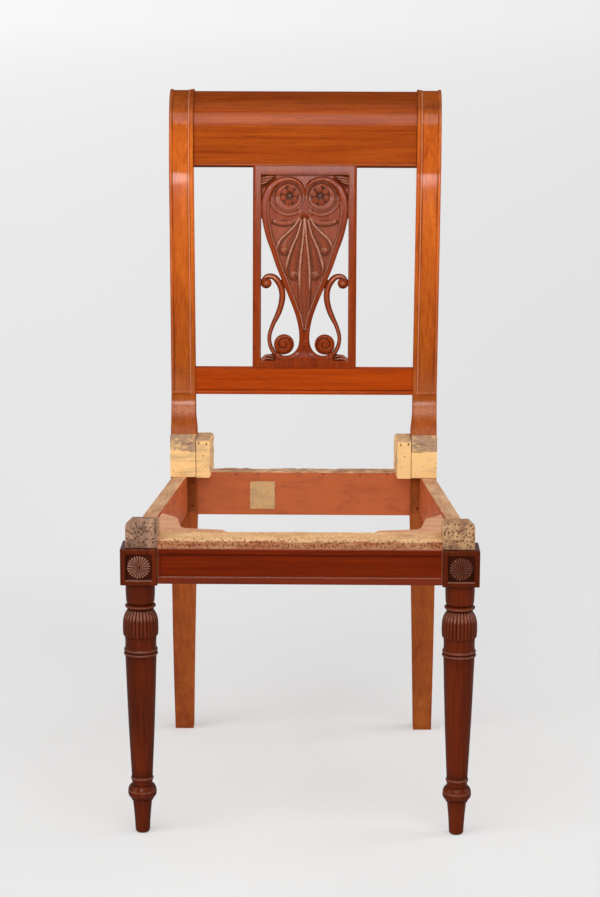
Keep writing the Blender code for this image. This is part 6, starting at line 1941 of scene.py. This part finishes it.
class CHAIR_OT_stiles(bpy.types.Operator):
    """Build the beaded stiles that run from the rear feet to the rolled top"""

    bl_idname = "chair.stiles"
    bl_label = "Stiles"

    def execute(self, context):
        sizes = context.scene.chair_sizes
        for hand, side in SIDES.items():
            wood = polished(f"stile_polish_{hand}", "stile", context.scene.chair_finish, polish=0.09,
                            shift=(0.3 * side, 0.0, 0.0), blur=0.08)
            make_piece(f"stile_surface_{hand}", stile, wood, [f"stile_{hand}"], "stile_wood", side, sizes)
        return {"FINISHED"}


class CHAIR_OT_crest(bpy.types.Operator):
    """Build the rolled crest rail"""

    bl_idname = "chair.crest"
    bl_label = "Crest rail"

    def execute(self, context):
        wood = polished("crest_polish", "crest", context.scene.chair_finish, polish=0.06, grain="x",
                        blur=0.09, bands=0.2)
        make_piece("crest_surface", crest_rail, wood, ["crest_rail"], "crest_wood")
        return {"FINISHED"}


class CHAIR_OT_lower_rail(bpy.types.Operator):
    """Build the lower rail of the back"""

    bl_idname = "chair.lower_rail"
    bl_label = "Lower back rail"

    def execute(self, context):
        wood = polished("lower_rail_polish", "lower", context.scene.chair_finish, polish=0.04, grain="x",
                        shift=(0.0, 0.4, 0.0), bands=0.4)
        make_piece("lower_rail_surface", lower_rail, wood, ["lower_back_rail"], "stile_wood")
        return {"FINISHED"}


class CHAIR_OT_splat(bpy.types.Operator):
    """Build the pierced and carved palmette splat"""

    bl_idname = "chair.splat"
    bl_label = "Palmette splat"

    def execute(self, context):
        wood = polished("splat_polish", "splat", context.scene.chair_finish, polish=0.08, blur=0.14,
                        bands=0.55, slant_shade=0.6)
        make_piece("splat_carving", splat, wood, ["palmette_splat"], "splat_wood", context.scene.chair_sizes,
                   crease=CARVED_CREASE)
        return {"FINISHED"}


class CHAIR_OT_seat_rails(bpy.types.Operator):
    """Build the four seat rails with their tacking edges"""

    bl_idname = "chair.seat_rails"
    bl_label = "Seat rails"

    def execute(self, context):
        sizes = context.scene.chair_sizes
        finish = context.scene.chair_finish
        shown = polished("rail_polish", "rail", finish, polish=0.05, grain="x", shine=0.02, bands=0.45)
        strip = bare("tacking_timber", "tacking", finish, grain="x", speckle=0.6, patches=0.3)
        side_strip = bare("side_tacking_timber", "frayed", finish, "tacking", grain="y", soil=-0.2,
                          speckle=0.6, patches=0.3)
        inner = bare("inner_rail_timber", "inner", finish, grain="x", soil=-0.4, roughness=0.62,
                     speckle=0.02)
        inner_side = bare("inner_side_timber", "inner", finish, grain="y", soil=-0.3, roughness=0.62,
                          speckle=0.05)
        frayed = bare("frayed_timber", "frayed", finish, grain="x", soil=-0.65, speckle=0.5, patches=0.5)
        make_piece("front_rail_surface", front_rail, shown, ["front_seat_rail"], "front_rail_wood", sizes,
                   strip=strip)
        for hand, side in SIDES.items():
            make_piece(f"side_rail_surface_{hand}", side_rail, inner_side, [f"side_seat_rail_{hand}"],
                       "inner_rail_wood", side, sizes, strip=side_strip)
        make_piece("back_rail_surface", back_rail, inner, ["back_seat_rail"], "inner_rail_wood", sizes,
                   strip=frayed)
        return {"FINISHED"}


class CHAIR_OT_blocks(bpy.types.Operator):
    """Build the pale blocks round the stiles and the corner braces"""

    bl_idname = "chair.blocks"
    bl_label = "Blocks and braces"

    def execute(self, context):
        sizes = context.scene.chair_sizes
        finish = context.scene.chair_finish
        pale = bare("block_timber", "block", finish, grain="x", soil=-0.5, speckle=0.05)
        pink = bare("brace_timber", "brace", finish, grain="x", soil=-0.35, speckle=0.04)
        for hand, side in SIDES.items():
            for name, make, material, slot, values in (
                    ("stile_face_block", face_block, pale, "tacking_block_wood", (side, sizes)),
                    ("stile_inner_block", inner_block, pale, "tacking_block_wood", (side, sizes)),
                    ("corner_brace", corner_brace, pink, "brace_wood", (side,))):
                make_piece(f"{name}_surface_{hand}", make, material, [f"{name}_{hand}"], slot, *values)
        return {"FINISHED"}


class CHAIR_OT_pegs(bpy.types.Operator):
    """Build the shown ends of the joint pegs"""

    bl_idname = "chair.pegs"
    bl_label = "Joint pegs"

    def execute(self, context):
        wood = bare("peg_timber", "stile", context.scene.chair_finish, soil=0.2, roughness=0.5)
        make_piece("joint_peg_ends", joint_pegs, wood, PEG_NODES, "peg_wood")
        return {"FINISHED"}


class CHAIR_OT_label(bpy.types.Operator):
    """Build the blank paper label inside the back rail"""

    bl_idname = "chair.label"
    bl_label = "Paper label"

    def execute(self, context):
        paper = paper_material(context.scene.chair_finish)
        make_piece("paper_label", paper_label, paper, [], "inner_rail_wood", context.scene.chair_sizes)
        return {"FINISHED"}


class CHAIR_OT_stage(bpy.types.Operator):
    """Set the backdrop, the lights and the camera"""

    bl_idname = "chair.stage"
    bl_label = "Stage"

    def execute(self, context):
        stage = context.scene.chair_stage
        make_floor(stage)
        make_lights(stage)
        make_camera()
        context.scene.view_settings.view_transform = "Standard"
        return {"FINISHED"}


def seen_rays(nodes):
    """1 for the rays that show the backdrop: of the camera, of reflections and through clear materials."""
    path = nodes.add("ShaderNodeLightPath", {})
    direct = nodes.maths("MAXIMUM", path.outputs["Is Camera Ray"], path.outputs["Is Glossy Ray"])
    return nodes.maths("MAXIMUM", direct, path.outputs["Is Transmission Ray"])


def make_floor(stage):
    """A wide round floor: rings round the chair, each farther out than the last. Near the chair it is a
    plain matt surface that takes its shadow; farther off it turns into the pale backdrop."""
    reach = np.concatenate([np.linspace(0.0, 3.0, 13), np.geomspace(3.6, 70.0, 16)])
    turn = np.arange(FLOOR_STEPS) * 2 * np.pi / FLOOR_STEPS
    x = reach[:, None] * np.cos(turn)
    points = np.stack([x, reach[:, None] * np.sin(turn), np.zeros_like(x)], -1)
    mesh = bpy.data.meshes.new("floor")
    mesh.from_pydata(points.reshape(-1, 3).tolist(), [], grid_faces(*x.shape, False, True).tolist())
    material = bpy.data.materials.new("floor_paper")
    material.use_nodes = True
    nodes = Nodes(material.node_tree)
    shader = material.node_tree.nodes["Principled BSDF"]
    nodes.fill(shader.inputs, {"Base Color": opened(stage.floor), "Roughness": 0.9,
                               "Specular IOR Level": 0.05})
    place = nodes.add("ShaderNodeTexCoord", {}).outputs["Object"]
    away = nodes.add("ShaderNodeVectorMath", {0: place}, operation="LENGTH").outputs["Value"]
    share = nodes.maths("MULTIPLY", nodes.spread(away, -0.3, 1.2), seen_rays(nodes))
    level = nodes.spread(away, FLOOR_NEAR, FLOOR_FAR, 0.775, stage.backdrop)
    sideways = nodes.add("ShaderNodeSeparateXYZ", {0: place}).outputs["X"]
    turned = nodes.maths("DIVIDE", sideways, nodes.maths("MAXIMUM", away, 0.1))
    faded = nodes.spread(nodes.maths("ABSOLUTE", turned, 0.0), 0.15, 0.5, 1.0, 0.0)
    slant = nodes.maths("MULTIPLY", turned, nodes.spread(away, FLOOR_NEAR, FLOOR_FAR, -0.11, -0.38))
    slant = nodes.maths("MULTIPLY", slant, faded)
    glow = nodes.add("ShaderNodeEmission", {"Color": WHITE, "Strength": nodes.maths("ADD", level, slant)})
    mixed = nodes.add("ShaderNodeMixShader", {0: share, 1: shader.outputs[0], 2: glow.outputs[0]})
    output = material.node_tree.nodes["Material Output"]
    material.node_tree.links.new(mixed.outputs[0], output.inputs["Surface"])
    mesh.materials.append(material)
    floor = bpy.data.objects.new("floor", mesh)
    bpy.context.scene.collection.objects.link(floor)


def make_light(name, place, target, size, power):
    """A soft rectangular light at a place, turned towards its target."""
    data = bpy.data.lights.new(name, "AREA")
    data.shape = "RECTANGLE"
    data.size, data.size_y = size
    data.energy = power
    light = bpy.data.objects.new(name, data)
    light.location = place
    light.rotation_euler = (Vector(target) - Vector(place)).to_track_quat("-Z", "Y").to_euler()
    bpy.context.scene.collection.objects.link(light)
    return light


def make_lights(stage):
    """An even world with a pale backdrop, a wide fill that leaves no reflection, a tall light on each side,
    and three lights that only show in the polish: over the camera, high in front and on the ceiling."""
    world = bpy.data.worlds.new("studio")
    world.use_nodes = True
    nodes = Nodes(world.node_tree)
    shown = nodes.spread(seen_rays(nodes), 0.0, 1.0, stage.world, stage.backdrop)
    nodes.fill(world.node_tree.nodes["Background"].inputs, {"Color": WHITE, "Strength": shown})
    bpy.context.scene.world = world
    middle = (0.0, 0.1, 0.6)
    polish_lights = (
        make_light("key", (-0.2, -3.3, 1.48), middle, (1.1, 0.30), stage.key),
        make_light("soft_box", (0.0, -1.9, 2.99), (0.0, 0.1, 0.9), (2.2, 0.34), stage.soft),
        make_light("ceiling", (0.0, -0.7, 3.3), (0.0, -0.1, 0.4), (2.4, 1.8), stage.ceiling))
    for light in polish_lights:
        light.visible_diffuse = False
    fill = make_light("fill_box", (0.0, -1.8, 2.85), (0.0, 0.2, 0.7), (3.6, 2.6), stage.fill)
    fill.visible_glossy = False
    make_light("side_left", (-2.6, -1.4, 1.2), middle, (1.6, 2.2), stage.side)
    make_light("side_right", (2.8, 0.1, 1.2), middle, (1.6, 2.2), stage.side)


def make_camera():
    """The camera of the picture: its place, and turns for yaw, pitch and roll."""
    flat = math.cos(CAMERA_PITCH)
    ahead = Vector((math.sin(CAMERA_YAW) * flat, math.cos(CAMERA_YAW) * flat, math.sin(CAMERA_PITCH)))
    right = Vector((math.cos(CAMERA_YAW), -math.sin(CAMERA_YAW), 0.0))
    upward = right.cross(ahead)
    level = math.cos(CAMERA_ROLL) * right + math.sin(CAMERA_ROLL) * upward
    plumb = -math.sin(CAMERA_ROLL) * right + math.cos(CAMERA_ROLL) * upward
    turned = Matrix((level, plumb, -ahead)).transposed().to_4x4()
    data = bpy.data.cameras.new("picture")
    data.sensor_fit = "AUTO"
    data.sensor_width = SENSOR
    data.lens = FOCAL_PIXELS * SENSOR / PICTURE_HEIGHT
    camera = bpy.data.objects.new("picture", data)
    camera.matrix_world = Matrix.Translation(CAMERA_PLACE) @ turned
    bpy.context.scene.collection.objects.link(camera)
    bpy.context.scene.camera = camera


class CHAIR_PT_panel(bpy.types.Panel):
    """Lists the pieces of the chair"""

    bl_idname = "CHAIR_PT_panel"
    bl_label = "Palmette back chair"
    bl_space_type = "VIEW_3D"
    bl_region_type = "UI"
    bl_category = "Chair"

    def draw(self, context):
        for operator in OPERATORS:
            self.layout.operator(operator.bl_idname)
        for group in (context.scene.chair_sizes, context.scene.chair_finish, context.scene.chair_stage):
            for name in group.__annotations__:
                self.layout.prop(group, name)


OPERATORS = (
    CHAIR_OT_front_legs, CHAIR_OT_stiles, CHAIR_OT_crest, CHAIR_OT_lower_rail, CHAIR_OT_splat,
    CHAIR_OT_seat_rails, CHAIR_OT_blocks, CHAIR_OT_pegs, CHAIR_OT_label, CHAIR_OT_stage,
)
CLASSES = (ChairSizes, ChairFinish, StageSettings, *OPERATORS, CHAIR_PT_panel)


def register():
    for each in CLASSES:
        bpy.utils.register_class(each)
    bpy.types.Scene.chair_sizes = bpy.props.PointerProperty(type=ChairSizes)
    bpy.types.Scene.chair_finish = bpy.props.PointerProperty(type=ChairFinish)
    bpy.types.Scene.chair_stage = bpy.props.PointerProperty(type=StageSettings)


def unregister():
    del bpy.types.Scene.chair_stage
    del bpy.types.Scene.chair_finish
    del bpy.types.Scene.chair_sizes
    for each in reversed(CLASSES):
        bpy.utils.unregister_class(each)


def main():
    register()
    bpy.ops.chair.front_legs()
    bpy.ops.chair.stiles()
    bpy.ops.chair.crest()
    bpy.ops.chair.lower_rail()
    bpy.ops.chair.splat()
    bpy.ops.chair.seat_rails()
    bpy.ops.chair.blocks()
    bpy.ops.chair.pegs()
    bpy.ops.chair.label()
    bpy.ops.chair.stage()


if __name__ == "__main__":
    main()
